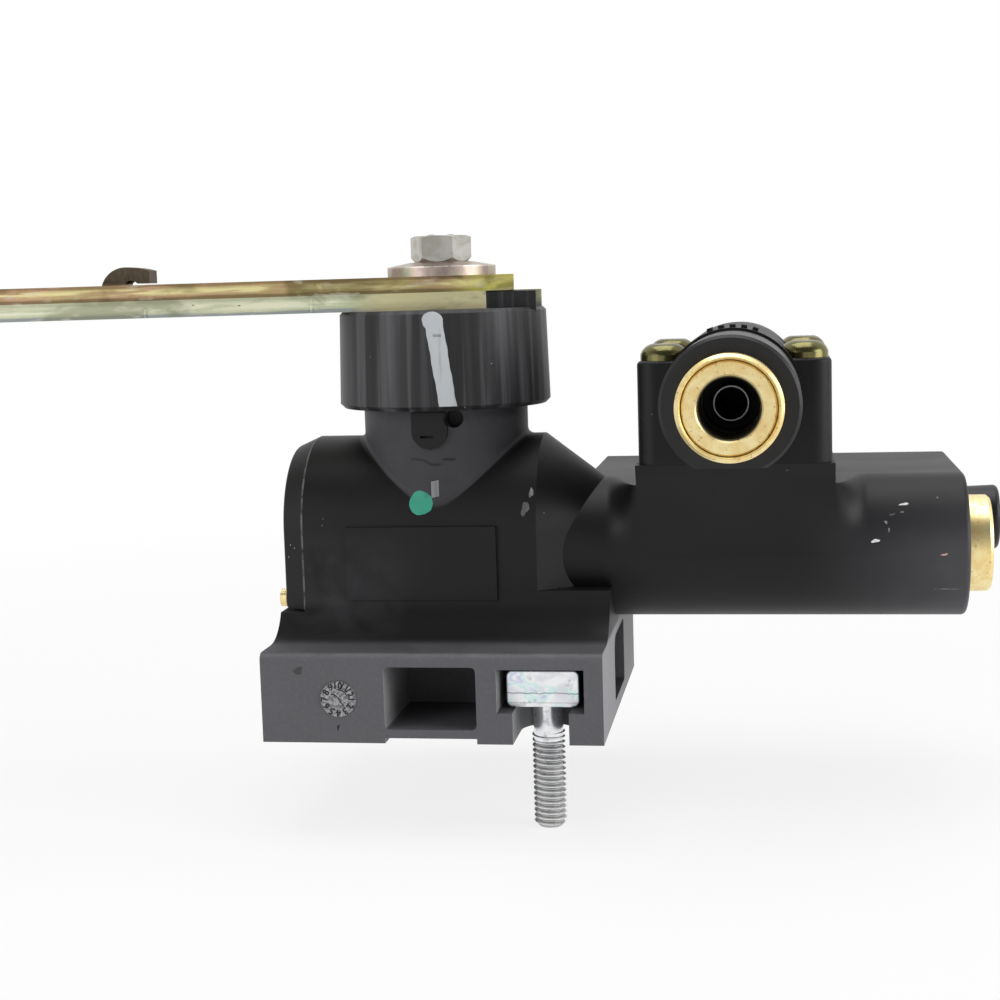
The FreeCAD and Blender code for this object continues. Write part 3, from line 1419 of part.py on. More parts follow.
def make_t_bolt(label, side):
    """A T-bolt: a square head that slides in the slot, and a threaded stud that hangs below the base."""
    x = BASE_MIDDLE - side * S.slot_offset
    floor = S.slot_floor + S.bolt_head_gap
    bolt = new_body(label, (x, side * S.bolt_line, floor))
    head = new_sketch(bolt, "XY_Plane")
    half = S.bolt_head / 2
    add_box(head, (-half, -half), (half, half))
    pad(bolt, head, S.bolt_head_height)
    ends = (0, S.bolt_head_height.value)
    fillet(bolt, S.bolt_head_edge, lambda e: all_points(
        e, lambda p: near(abs(p.x), half.value) and any(near(p.z, end) for end in ends)))
    shank = new_sketch(bolt, "XY_Plane", 1)
    add_circle(shank, (0, 0), S.bolt_shank)
    pad(bolt, shank, 1 + floor + S.thread_start, True)
    stud = new_sketch(bolt, "XY_Plane", -floor - S.thread_start)
    add_circle(stud, (0, 0), S.stud_radius)
    pad(bolt, stud, S.bolt_reach - S.thread_start, True)
    tip = S.bolt_reach + floor
    chamfer(bolt, S.bolt_tip, lambda e: all_points(e, lambda p: near(p.z, -tip.value)))


def check_objects():
    """Stop when any object failed or any node's shape is missing or not valid."""
    for item in DOC.Objects:
        for word in ("Invalid", "Error"):
            if word in item.State:
                raise RuntimeError("%s: %s" % (item.FullName, item.State))
    for node in NODES:
        if node.Shape.isNull() or not node.Shape.isValid() or not node.Shape.Solids:
            raise RuntimeError("%s has no valid solid" % node.Label)


def write_nodes():
    """Write each node's solids to its own file."""
    os.makedirs("parts", exist_ok=True)
    for node in NODES:
        node.Shape.exportStep("parts/%s.step" % node.Label)


make_valve_body()
make_end_cap()
make_shaft_parts()
make_hub()
make_lever()
make_lever_fasteners()
make_block()
make_manifold_screws()
make_ports()
make_spool()
make_check_valve()
make_t_bolt("t_bolt_front", -1)
DOC.recompute()
check_objects()
write_nodes()
print("nodes", len(NODES))
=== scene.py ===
"""Looks of the leveling valve: finishes, paint marks, thread, mould marks, studio and camera."""

import json
import logging
import math
from dataclasses import dataclass
from typing import Callable, Dict, Optional, Sequence, Tuple

import bmesh
import bpy
from mathutils import Matrix, Vector

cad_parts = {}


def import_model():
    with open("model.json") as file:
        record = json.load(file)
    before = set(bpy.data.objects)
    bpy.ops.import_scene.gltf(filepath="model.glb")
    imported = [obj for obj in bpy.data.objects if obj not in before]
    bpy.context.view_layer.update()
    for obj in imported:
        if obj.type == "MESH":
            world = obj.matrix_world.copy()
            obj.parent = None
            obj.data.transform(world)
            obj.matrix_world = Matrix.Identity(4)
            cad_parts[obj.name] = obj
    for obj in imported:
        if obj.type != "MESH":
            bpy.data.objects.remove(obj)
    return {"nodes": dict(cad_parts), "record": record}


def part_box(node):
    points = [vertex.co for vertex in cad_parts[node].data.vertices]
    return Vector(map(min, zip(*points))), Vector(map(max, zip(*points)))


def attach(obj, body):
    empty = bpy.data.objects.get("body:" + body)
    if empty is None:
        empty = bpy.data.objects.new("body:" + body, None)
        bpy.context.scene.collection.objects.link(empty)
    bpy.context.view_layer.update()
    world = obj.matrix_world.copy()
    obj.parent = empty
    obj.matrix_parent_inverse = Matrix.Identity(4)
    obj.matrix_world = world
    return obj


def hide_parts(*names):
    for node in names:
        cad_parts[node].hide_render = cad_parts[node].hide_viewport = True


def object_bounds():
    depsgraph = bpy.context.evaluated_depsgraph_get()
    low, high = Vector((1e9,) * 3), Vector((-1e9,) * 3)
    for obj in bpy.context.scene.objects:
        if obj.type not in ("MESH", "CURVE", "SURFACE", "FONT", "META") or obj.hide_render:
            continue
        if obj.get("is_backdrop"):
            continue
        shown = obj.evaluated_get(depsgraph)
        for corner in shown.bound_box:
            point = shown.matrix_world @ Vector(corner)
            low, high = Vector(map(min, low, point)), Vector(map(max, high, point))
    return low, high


LOG = logging.getLogger("leveling_valve")
MM = 0.001
FULL_TURN = 2 * math.pi
SHARP_ANGLE = 0.6
DAUB_RINGS, DAUB_STEPS, DAUB_RIM = 6, 36, 0.25
STRIP_TIP = 0.3

Triple = Tuple[float, float, float]
Colour = Tuple[float, float, float, float]
WHITE: Colour = (1.0, 1.0, 1.0, 1.0)


def mm(x: float, y: float, z: float) -> Vector:
    """A point given in millimetres, in metres."""
    return Vector((x, y, z)) * MM


def paint(red: int, green: int, blue: int) -> Colour:
    """A colour as it shows on screen, from 0 to 255, as the linear colour that a shader takes.

    Args:
        red: red on screen.
        green: green on screen.
        blue: blue on screen.

    Returns:
        The linear colour with full alpha.
    """
    def linear(level: int) -> float:
        share = level / 255
        return share / 12.92 if share <= 0.04045 else ((share + 0.055) / 1.055) ** 2.4

    return (linear(red), linear(green), linear(blue), 1.0)


class Signal:
    """A number that changes over a surface; Python arithmetic on it adds Math nodes."""

    def __init__(self, nodes: "Nodes", socket: bpy.types.NodeSocket) -> None:
        """Wraps a socket of a node tree."""
        self.nodes = nodes
        self.socket = socket

    def join(self, operation: str, *values: object) -> "Signal":
        """Adds a Math node.

        Args:
            operation: the Math node's operation.
            values: what its sockets take, in order.

        Returns:
            The node's result.
        """
        node = self.nodes.node("ShaderNodeMath", {"operation": operation}, dict(enumerate(values)))
        return Signal(self.nodes, node.outputs[0])

    def __add__(self, other: object) -> "Signal":
        """Sum."""
        return self.join("ADD", self, other)

    __radd__ = __add__

    def __sub__(self, other: object) -> "Signal":
        """Difference."""
        return self.join("SUBTRACT", self, other)

    def __rsub__(self, other: object) -> "Signal":
        """Difference from the right."""
        return self.join("SUBTRACT", other, self)

    def __mul__(self, other: object) -> "Signal":
        """Product."""
        return self.join("MULTIPLY", self, other)

    __rmul__ = __mul__

    def larger(self, other: object) -> "Signal":
        """The larger of two numbers."""
        return self.join("MAXIMUM", self, other)

    def sine(self) -> "Signal":
        """Sine of the number."""
        return self.join("SINE", self)

    def size(self) -> "Signal":
        """The number without its sign."""
        return self.join("ABSOLUTE", self)

    def above(self, level: float, soft: float) -> "Signal":
        """A mask that rises smoothly from 0 to 1 round a level.

        Args:
            level: the middle of the rise.
            soft: half the width of the rise.

        Returns:
            The mask.
        """
        sockets = {"Value": self, "From Min": level - soft, "From Max": level + soft}
        node = self.nodes.node("ShaderNodeMapRange", {"interpolation_type": "SMOOTHSTEP"},
                               {**sockets, "To Min": 0.0, "To Max": 1.0})
        return Signal(self.nodes, node.outputs[0])

    def between(self, low: float, high: float, soft: float) -> "Signal":
        """A mask that is 1 between two levels.

        Args:
            low: the lower level.
            high: the upper level.
            soft: half the width of each rise.

        Returns:
            The mask.
        """
        return self.above(low, soft) * (1 - self.above(high, soft))

    def near(self, level: float, reach: float) -> "Signal":
        """A mask that is 1 at a level and 0 from a distance on.

        Args:
            level: the level.
            reach: the distance.

        Returns:
            The mask.
        """
        return 1 - (self - level).size().above(reach / 2, reach / 2)


class Nodes:
    """A node tree under construction."""

    def __init__(self, tree: bpy.types.NodeTree) -> None:
        """Takes a tree and empties it."""
        self.tree = tree
        self.tree.nodes.clear()

    def node(self, kind: str, settings: Optional[dict] = None,
             inputs: Optional[dict] = None) -> bpy.types.Node:
        """Adds a node, sets its settings first and then its sockets.

        Args:
            kind: the node's type.
            settings: its properties; "stops" gives a colour ramp's stops as (place, colour).
            inputs: socket name or number to a value, a socket or a Signal.

        Returns:
            The node.
        """
        made = self.tree.nodes.new(kind)
        for name, value in (settings or {}).items():
            if name == "stops":
                ramp = made.color_ramp
                while len(ramp.elements) < len(value):
                    ramp.elements.new(0.5)
                for element, (place, colour) in zip(ramp.elements, value):
                    element.position = place
                    element.color = colour
            else:
                setattr(made, name, value)
        for name, value in (inputs or {}).items():
            self.feed(made.inputs[name], value)
        return made

    def feed(self, socket: bpy.types.NodeSocket, value: object) -> None:
        """Gives a socket a value or a link.

        Args:
            socket: the socket.
            value: a number, a vector, another socket or a Signal.
        """
        if isinstance(value, Signal):
            self.tree.links.new(value.socket, socket)
        elif isinstance(value, bpy.types.NodeSocket):
            self.tree.links.new(value, socket)
        else:
            socket.default_value = value

    def seen(self, *kinds: str) -> Signal:
        """Whether a ray is of one of the kinds.

        Args:
            kinds: Light Path outputs.

        Returns:
            1 for such a ray and 0 for another.
        """
        path = self.node("ShaderNodeLightPath")
        found = Signal(self, path.outputs[kinds[0]])
        for kind in kinds[1:]:
            found = found.larger(Signal(self, path.outputs[kind]))
        return found


class Shader(Nodes):
    """One node material under construction, with object coordinates at hand."""

    def __init__(self, name: str, turn: float = 0.0) -> None:
        """Makes an empty material with a Principled shader.

        Args:
            name: the material's name.
            turn: turn of the piece round Z, which its pattern follows.
        """
        self.material = bpy.data.materials.new(name)
        self.material.use_nodes = True
        super().__init__(self.material.node_tree)
        self.output = self.node("ShaderNodeOutputMaterial")
        self.surface = self.node("ShaderNodeBsdfPrincipled")
        self.tree.links.new(self.surface.outputs[0], self.output.inputs[0])
        self.source = self.node("ShaderNodeTexCoord")
        self.place = self.source.outputs["Object"]
        if turn:
            mapping = self.node("ShaderNodeMapping", {"vector_type": "POINT"},
                                {"Vector": self.place, "Rotation": (0.0, 0.0, -turn)})
            self.place = mapping.outputs[0]

    def mapped(self, stretch: Triple = (1, 1, 1), centre: Optional[Vector] = None) -> bpy.types.NodeSocket:
        """Object coordinates moved to a centre and stretched.

        Args:
            stretch: factor along each axis.
            centre: the point that becomes the origin.

        Returns:
            The vector socket.
        """
        start = centre or Vector((0, 0, 0))
        shift = tuple(-factor * value for factor, value in zip(stretch, start))
        node = self.node("ShaderNodeMapping", {"vector_type": "POINT"},
                         {"Vector": self.place, "Location": shift, "Scale": stretch})
        return node.outputs[0]

    def noise(self, size: float, stretch: Triple = (1, 1, 1), detail: float = 3.0,
              warp: float = 0.0) -> Signal:
        """Cloudy noise.

        Args:
            size: the size of a cloud in metres.
            stretch: factor on the coordinates along each axis.
            detail: how many finer layers it has.
            warp: how much it is distorted.

        Returns:
            The noise, from 0 to 1.
        """
        node = self.node("ShaderNodeTexNoise", {}, {"Vector": self.mapped(stretch), "Scale": 1 / size,
                                                    "Detail": detail, "Distortion": warp})
        return Signal(self, node.outputs[0])

    def specks(self, spacing: float, radius: float, share: float, stretch: Triple = (1, 1, 1)) -> Signal:
        """Sparse specks.

        Args:
            spacing: the distance between possible specks in metres.
            radius: a speck's radius as a share of the spacing.
            share: the share of places that have one.
            stretch: factor on the coordinates along each axis.

        Returns:
            A mask of the specks.
        """
        node = self.node("ShaderNodeTexVoronoi", {"feature": "F1"},
                         {"Vector": self.mapped(stretch), "Scale": 1 / spacing, "Randomness": 1.0})
        spot = 1 - Signal(self, node.outputs["Distance"]).above(radius, radius * 0.3)
        chosen = self.node("ShaderNodeSeparateColor", {}, {0: node.outputs["Color"]})
        return spot * Signal(self, chosen.outputs[0]).above(1 - share, 0.01)

    def along(self, letter: str) -> Signal:
        """The place along one axis.

        Args:
            letter: the axis's letter.

        Returns:
            The coordinate in metres.
        """
        return Signal(self, self.node("ShaderNodeSeparateXYZ", {}, {0: self.place}).outputs[letter])

    def facing(self, letter: str) -> Signal:
        """How far a face looks along one axis, from -1 to 1.

        Args:
            letter: the axis's letter.

        Returns:
            The normal's share along that axis.
        """
        side = self.node("ShaderNodeSeparateXYZ", {}, {0: self.source.outputs["Normal"]})
        return Signal(self, side.outputs[letter])

    def wall(self) -> Signal:
        """A mask of upright faces."""
        return 1 - self.facing("Z").size().above(0.6, 0.25)

    def angle(self) -> Signal:
        """The angle round the lever's axis, from the front towards the right."""
        node = self.node("ShaderNodeSeparateXYZ", {}, {0: self.place})
        across, depth = Signal(self, node.outputs["X"]), Signal(self, node.outputs["Y"])
        return across.join("ARCTAN2", across, depth * -1.0)

    def distance(self, centre: Vector, along: str) -> Signal:
        """Distance from an axis.

        Args:
            centre: a point on the axis.
            along: the axis's letter, or nothing for the distance from the point.

        Returns:
            The distance in metres.
        """
        flat = tuple(0.0 if letter == along else 1.0 for letter in "XYZ")
        node = self.node("ShaderNodeVectorMath", {"operation": "LENGTH"}, {0: self.mapped(flat, centre)})
        return Signal(self, node.outputs["Value"])

    def ramp(self, value: Signal, stops: Sequence[Tuple[float, Colour]]) -> bpy.types.NodeSocket:
        """Colours a number.

        Args:
            value: the number.
            stops: places and their colours.

        Returns:
            The colour socket.
        """
        return self.node("ShaderNodeValToRGB", {"stops": stops}, {0: value}).outputs[0]

    def blend(self, mask: Signal, under: object, over: object) -> bpy.types.NodeSocket:
        """Lays one colour over another.

        Args:
            mask: where the upper colour shows.
            under: the lower colour.
            over: the upper colour.

        Returns:
            The colour socket.
        """
        node = self.node("ShaderNodeMix", {"data_type": "RGBA"}, {0: mask, 6: under, 7: over})
        return node.outputs[2]

    def bump(self, height: Signal, depth: float, strength: float = 1.0) -> None:
        """Gives the surface a relief.

        Args:
            height: the relief, from 0 to 1.
            depth: its depth in metres.
            strength: how much of it shows.
        """
        node = self.node("ShaderNodeBump", {}, {"Height": height, "Distance": depth, "Strength": strength})
        self.feed(self.surface.inputs["Normal"], node.outputs[0])

    def set(self, **values: object) -> None:
        """Sets sockets of the Principled shader; an underscore stands for a space."""
        for name, value in values.items():
            self.feed(self.surface.inputs[name.replace("_", " ")], value)

    def cover(self, mask: Signal, colour: Colour, rougher: float = 0.0, duller: float = 0.0) -> None:
        """Lays a film over the surface as it is so far.

        Args:
            mask: where it lies.
            colour: its colour.
            rougher: what it adds to the roughness.
            duller: what it takes off the metal.
        """
        inputs = self.surface.inputs
        self.set(Base_Color=self.blend(mask, inputs["Base Color"].links[0].from_socket, colour))
        if rougher:
            self.set(Roughness=Signal(self, inputs["Roughness"].links[0].from_socket) + mask * rougher)
        if duller:
            self.set(Metallic=inputs["Metallic"].default_value - mask * duller)


@dataclass(frozen=True)
class Finish:
    """A surface finish; each makes its material once."""

    name: str

    def apply(self, shader: Shader) -> None:
        """Sets the shader's nodes."""
        raise NotImplementedError

    def material(self) -> bpy.types.Material:
        """The finish's material, made at its first use."""
        found = bpy.data.materials.get(self.name)
        if found:
            return found
        shader = Shader(self.name, getattr(self, "turn", 0.0))
        self.apply(shader)
        return shader.material


@dataclass(frozen=True)
class GlassFilledPlastic(Finish):
    """Black moulding with glass fibre: cloudy sheen, fine grain, faint flow lines and dust."""

    dark: Colour = paint(6, 6, 8)
    light: Colour = paint(17, 17, 19)
    dust: Colour = paint(130, 130, 132)
    shine: float = 0.38
    gloss: float = 1.35
    flow: Triple = (0.6, 1, 1)

    def apply(self, shader: Shader) -> None:
        """Sets the shader's nodes."""
        clouds = shader.noise(14 * MM, self.flow, 4.0, 0.6)
        grain = shader.noise(0.35 * MM, (1, 1, 1), 2.0)
        fibres = shader.noise(0.5 * MM, (0.25, 1, 1), 2.0, 1.5)
        body = shader.blend(clouds.above(0.5, 0.3), self.dark, self.light)
        shader.set(Base_Color=body, Roughness=self.shine + clouds * 0.16 + grain * 0.06, IOR=self.gloss)
        shader.cover(shader.specks(3.4 * MM, 0.032, 0.14) * 0.8, self.dust, 0.3)
        shader.bump(grain * 0.5 + fibres * 0.5, 0.012 * MM, 0.8)


@dataclass(frozen=True)
class HousingPlastic(GlassFilledPlastic):
    """The body's moulding, with a coarse grey grain on its base, painted shade in the skirt above the base, a
    painted highlight along the base's top edge, painted light on the base's right-facing faces, lighter
    patches on the neck, the barrel's right end and the chamber's left, and pale flecks near the cap.
    """

    base_top: float = 16.4 * MM
    edge_height: float = 15.9 * MM
    skirt_top: float = 22.0 * MM
    skirt_right: float = 30.0 * MM
    neck_foot: float = 40.0 * MM
    neck_reach: float = 15.9 * MM
    right_from: float = 84.0 * MM
    right_top: float = 37.0 * MM
    left_from: float = -8.0 * MM
    fleck_from: float = -18.0 * MM
    grey: Colour = paint(92, 92, 96)
    # Pale grain on the base, also used for the painted highlight along its top edge.
    pale: Colour = paint(116, 116, 120)
    haze: Colour = paint(70, 70, 74)
    # Colour of the painted light on the base's right-facing faces.
    side: Colour = paint(160, 160, 162)
    # Colour of the painted shade in the skirt above the base.
    shade: Colour = paint(3, 3, 4)

    def apply(self, shader: Shader) -> None:
        """Sets the shader's nodes."""
        super().apply(shader)
        height, across = shader.along("Z"), shader.along("X")
        patches = shader.noise(7 * MM, (1, 1, 1), 5.0, 0.5)
        below = 1 - height.above(self.base_top, 0.5 * MM)
        shader.cover(below * (0.82 + patches * 0.18), self.grey, 0.16)
        shader.cover(below * shader.noise(0.7 * MM, (1, 1, 1), 3.0).above(0.6, 0.15) * 0.16, self.pale)
        # Painted shade: the concave skirt between the base and the chamber is darkened to near black.
        skirt_shade = height.between(self.base_top + 0.2 * MM, self.skirt_top, 1 * MM) * (
            1 - across.above(self.skirt_right, 4 * MM))
        shader.cover(skirt_shade * 0.9, self.shade, 0.25)
        # Painted highlight: a pale, broken line along the base's top edge, where the edge catches the light.
        wear = height.near(self.edge_height, 0.5 * MM) * patches.above(0.45, 0.2)
        shader.cover(wear * 0.4, self.pale)
        neck = (1 - shader.distance(Vector(), "Z").above(self.neck_reach, 0.1 * MM)) * height.above(
            self.neck_foot, 2 * MM)
        shader.cover(neck * (0.4 + patches * 0.5), self.haze, 0.05)
        right = across.above(self.right_from, 20 * MM) * (1 - height.above(self.right_top, 6 * MM))
        shader.cover(right * (0.7 + patches * 0.5), self.haze)
        # Painted light: the base's faces that look to the right are painted pale grey, for the light from the
        # right.
        shader.cover(below * shader.facing("X").above(0.7, 0.1) * 0.7, self.side)
        left = (1 - across.above(self.left_from, 8 * MM)) * height.between(18 * MM, 33 * MM, 5 * MM)
        shader.cover(left * patches.above(0.45, 0.2) * 0.3, self.haze)
        flecks = shader.specks(2.1 * MM, 0.075, 0.3, (1, 1, 0.6))
        there = (1 - across.above(self.fleck_from, 6 * MM)) * height.between(20 * MM, 40 * MM, 3 * MM)
        shader.cover(flecks * there * 0.7, self.dust, 0.2)


@dataclass(frozen=True)
class HubPlastic(GlassFilledPlastic):
    """The hub's moulding, with painted sheen: upright lighter bands and fine light and dark streaks where the
    light falls on it.
    """

    # Painted sheen bands: angle from the front, half width, strength.
    bands: Tuple[Triple, ...] = (
        (-0.318, 0.11, 0.55), (-0.006, 0.05, 0.35), (0.414, 0.05, 0.35), (0.62, 0.06, 0.3), (2.3, 0.10, 0.4),
        (-1.6, 0.08, 0.4))
    # Colour of the painted sheen.
    sheen: Colour = paint(92, 92, 96)
    spot: Colour = paint(176, 176, 178)

    def apply(self, shader: Shader) -> None:
        """Sets the shader's nodes."""
        super().apply(shader)
        angle, uneven = shader.angle(), shader.noise(3 * MM, (1, 1, 0.4), 4.0)
        # Painted sheen: lighter upright bands at given angles round the hub, for the light from the front
        # left.
        for middle, reach, strength in self.bands:
            shader.cover(angle.near(middle, reach) * (uneven * 0.7 + 0.3) * strength, self.sheen)
        # Painted sheen: fine upright light streaks, with dark streaks between them.
        sheen_streaks = shader.noise(2.2 * MM, (1, 1, 0.02), 3.0)
        shader.cover(sheen_streaks.above(0.56, 0.08) * 0.45, self.sheen)
        shader.cover((1 - sheen_streaks.above(0.42, 0.08)) * 0.7, self.dark)
        shader.cover(shader.specks(2.4 * MM, 0.05, 0.16) * 0.7, self.spot, 0.2)


@dataclass(frozen=True)
class SmoothPlastic(Finish):
    """Unfilled black plastic of the sleeves and the long button, smoother and darker."""

    dark: Colour = paint(15, 15, 17)
    light: Colour = paint(26, 26, 28)

    def apply(self, shader: Shader) -> None:
        """Sets the shader's nodes."""
        clouds = shader.noise(6 * MM, (1, 1, 1), 3.0)
        grain = shader.noise(0.25 * MM, (1, 1, 1), 2.0)
        shader.set(Base_Color=shader.blend(clouds, self.dark, self.light),
                   Roughness=0.34 + clouds * 0.12 + grain * 0.05, IOR=1.42)
        shader.cover(shader.specks(2.6 * MM, 0.04, 0.12) * 0.6, paint(124, 124, 124), 0.1)
        shader.bump(grain, 0.008 * MM, 0.6)


@dataclass(frozen=True)
class StrapZinc(Finish):
    """Yellow passivated zinc on sheared strip: cloudy tints, rub lines along its cut edges, painted shade
    where the straps meet and on the tab.
    """

    low: float = 0.0
    high: float = 1.0
    stops: Tuple[Tuple[float, Colour], ...] = ()
    streak: Colour = WHITE
    # Darker bands at the top and foot of the side faces; painted shade where the two straps meet.
    rim: Colour = WHITE
    foot: Colour = WHITE
    rim_share: float = 0.5
    foot_share: float = 0.5
    end_tint: Colour = WHITE
    end_from: float = 1.0
    # Height above which the tab is painted dark for its shade.
    tab_from: float = 1.0
    stain: Colour = paint(92, 80, 50)
    stain_share: float = 0.6
    shine: float = 0.26
    turn: float = 0.0

    def apply(self, shader: Shader) -> None:
        """Sets the shader's nodes."""
        patches = shader.noise(15 * MM, (0.45, 1, 1), 5.0, 0.8)
        rubs = shader.noise(1.1 * MM, (0.09, 1, 1), 4.0, 0.3)
        nicks = shader.noise(0.45 * MM, (1, 1, 0.3), 3.0)
        film = shader.ramp(patches * 0.75 + rubs * 0.15 + nicks * 0.1, self.stops)
        shader.set(Base_Color=film, Metallic=0.8, Roughness=self.shine + patches * 0.14 + nicks * 0.14)
        side = shader.wall()
        share = (shader.along("Z") - self.low) * (1 / (self.high - self.low)) + (rubs - 0.5) * 0.36
        middle = share.between(0.36, 0.74, 0.12)
        shader.cover(side * middle * rubs.above(0.46, 0.08) * 0.9, self.streak, 0.05)
        # Darker bands along the top and the foot of the side faces; where the straps meet (the upper strap's
        # foot, the lower strap's top) they are painted shade.
        shader.cover(side * share.above(0.82, 0.06) * self.rim_share, self.rim, 0.08)
        shader.cover(side * (1 - share.above(0.2, 0.06)) * self.foot_share, self.foot, 0.08)
        end = shader.along("X").above(self.end_from, 5 * MM) * patches.above(0.42, 0.15)
        shader.cover(end * 0.8, self.end_tint)
        stains = shader.noise(9 * MM, (0.5, 1, 1), 4.0, 0.6).above(0.53, 0.05)
        shader.cover(stains * self.stain_share, self.stain, 0.06)
        scuffs = shader.noise(2.2 * MM, (0.4, 1, 1.4), 4.0).above(0.62, 0.05)
        shader.cover(scuffs * 0.4, paint(214, 208, 190), 0.05)
        shader.cover(shader.specks(1.7 * MM, 0.09, 0.2, (0.6, 1, 1)) * 0.7, paint(84, 72, 48), 0.1)
        # Painted shade: the tab is painted dark brown and less metallic, for the shade inside the lanced
        # tongue.
        tab_shade = shader.along("Z").above(self.tab_from, 0.2 * MM)
        shader.cover(tab_shade * (0.7 + nicks * 0.4), paint(70, 64, 54), 0.2, 0.3)
        shader.bump(nicks * 0.6 + rubs * 0.4, 0.03 * MM, 0.8)


@dataclass(frozen=True)
class YellowZinc(Finish):
    """Yellow passivated zinc on small parts: cloudy straw, rose and green tints, and a painted highlight line
    at one height.
    """

    stops: Tuple[Tuple[float, Colour], ...] = ()
    shine: float = 0.16
    size: float = 4 * MM
    # Height and colour of a painted highlight line, for the washer rim's top edge.
    line_height: float = 1.0
    line: Colour = WHITE

    def apply(self, shader: Shader) -> None:
        """Sets the shader's nodes."""
        patches = shader.noise(self.size, (1, 1, 1), 4.0, 0.8)
        marks = shader.noise(0.4 * MM, (1, 1, 0.5), 3.0)
        shader.set(Base_Color=shader.ramp(patches * 0.85 + marks * 0.15, self.stops), Metallic=0.9,
                   Roughness=self.shine + patches * 0.12 + marks * 0.08)
        # Painted highlight: a pale, broken line at the height of the washer rim's top edge.
        wear = shader.along("Z").near(self.line_height, 0.22 * MM) * marks.above(0.4, 0.15)
        shader.cover(wear * 0.8, self.line)
        shader.bump(marks, 0.02 * MM, 0.6)


@dataclass(frozen=True)
class BrightZinc(Finish):
    """Bright zinc with a thin cool film, rainbow patches and fine tool marks."""

    tint: Colour = paint(240, 241, 242)
    film: Colour = paint(218, 221, 226)
    rainbow: float = 0.0
    shine: float = 0.2

    def apply(self, shader: Shader) -> None:
        """Sets the shader's nodes."""
        patches = shader.noise(4 * MM, (1, 1, 1), 4.0, 0.7)
        marks = shader.noise(0.35 * MM, (1, 1, 0.15), 3.0)
        dull = shader.noise(1.4 * MM, (1, 1, 1), 4.0).above(0.63, 0.05)
        base = shader.blend(patches.above(0.55, 0.12), self.tint, self.film)
        shader.set(Base_Color=base, Metallic=0.95, Roughness=self.shine + patches * 0.14 + marks * 0.06)
        if self.rainbow:
            hue = shader.noise(5 * MM, (1, 1, 1.6), 2.0, 0.4)
            shader.cover(hue.between(0.54, 0.6, 0.03) * self.rainbow, paint(176, 232, 224))
            shader.cover(hue.between(0.62, 0.68, 0.03) * self.rainbow, paint(170, 178, 226))
        shader.cover(dull * 0.4, paint(150, 150, 152), 0.15)
        shader.bump(marks * 0.6 + patches * 0.4, 0.02 * MM, 0.6)


@dataclass(frozen=True)
class PressedZinc(BrightZinc):
    """Bright zinc on a pressed head, with the dark lines where its blank was sheared."""

    shear: float = 8.45 * MM
    step: float = 6.7 * MM

    def apply(self, shader: Shader) -> None:
        """Sets the shader's nodes."""
        super().apply(shader)
        side, height = shader.wall(), shader.along("Z")
        uneven = (shader.noise(1.6 * MM, (1, 1, 0.2), 4.0) - 0.5) * (0.9 * MM)
        shader.cover(side * (height + uneven).near(self.shear, 0.16 * MM) * 0.75, paint(78, 74, 104), 0.15)
        shader.cover(side * height.near(self.step, 0.13 * MM) * 0.45, paint(96, 94, 96), 0.1)


@dataclass(frozen=True)
class ThreadZinc(BrightZinc):
    """Zinc on a rolled thread, with painted shade in its roots."""

    centre: Triple = (0, 0, 0)
    root: float = 2.42 * MM
    crest: float = 3.0 * MM

    def apply(self, shader: Shader) -> None:
        """Sets the shader's nodes."""
        super().apply(shader)
        # Painted shade: the thread's roots are darkened.
        away = shader.distance(Vector(self.centre), "Z")
        depth = 1 - away.above((self.root + self.crest) / 2, (self.crest - self.root) / 2)
        shader.cover(depth * 0.6, paint(104, 100, 92), 0.2)


@dataclass(frozen=True)
class TurnedBrass(Finish):
    """Brass turned on a lathe: fine rings round its axis, handling marks, a darker film, and painted shade
    inside a bore.
    """

    centre: Triple = (0, 0, 0)
    along: str = "Y"
    bore: float = 0.0
    bright: Colour = paint(253, 236, 180)
    dull: Colour = paint(240, 212, 146)

    def apply(self, shader: Shader) -> None:
        """Sets the shader's nodes."""
        away = shader.distance(Vector(self.centre), self.along)
        rings = (away * (FULL_TURN / (0.24 * MM))).sine() * 0.5 + 0.5
        film = shader.noise(2.6 * MM, (1, 1, 1), 5.0, 0.8)
        shader.set(Base_Color=shader.blend(film.above(0.52, 0.2), self.bright, self.dull), Metallic=0.92,
                   Roughness=0.27 + film * 0.2)
        nicks = shader.noise(0.7 * MM, (1, 1, 1), 3.0).above(0.66, 0.03)
        shader.cover(nicks * 0.45, paint(140, 108, 60), 0.2)
        shader.cover(rings.above(0.93, 0.07) * 0.25, paint(150, 116, 64), 0.05)
        # Painted shade: inside the bore the brass is painted near black and less metallic, for the shade deep
        # in the port.
        if self.bore:
            bore_shade = 1 - away.above(self.bore + 0.25 * MM, 0.1 * MM)
            shader.cover(bore_shade * 0.96, paint(22, 17, 12), 0.1, 0.5)
        shader.bump(rings * 0.3 + film * 0.4 - nicks * 0.3, 0.01 * MM, 0.8)


@dataclass(frozen=True)
class MouthSteel(Finish):
    """A tube support, painted dark for the shade inside the port, with a painted highlight on the rim round
    its mouth.
    """

    centre: Triple = (0, 0, 0)
    along: str = "Y"
    inner: float = 2.75 * MM
    outer: float = 3.1 * MM

    def apply(self, shader: Shader) -> None:
        """Sets the shader's nodes."""
        # Painted shade: the support is kept near black for the shade inside the port.
        film = shader.noise(1.2 * MM, (1, 1, 1), 4.0)
        shader.set(Base_Color=shader.blend(film, paint(24, 23, 21), paint(34, 32, 29)), Metallic=0.5,
                   Roughness=0.45 + film * 0.15)
        # Painted highlight: a thin near-white ring on the rim of the mouth.
        rim = shader.distance(Vector(self.centre), self.along).between(
            self.inner + 0.03 * MM, self.outer - 0.03 * MM, 0.03 * MM)
        shader.cover(rim, paint(222, 222, 222))
        shader.bump(film, 0.006 * MM, 0.6)


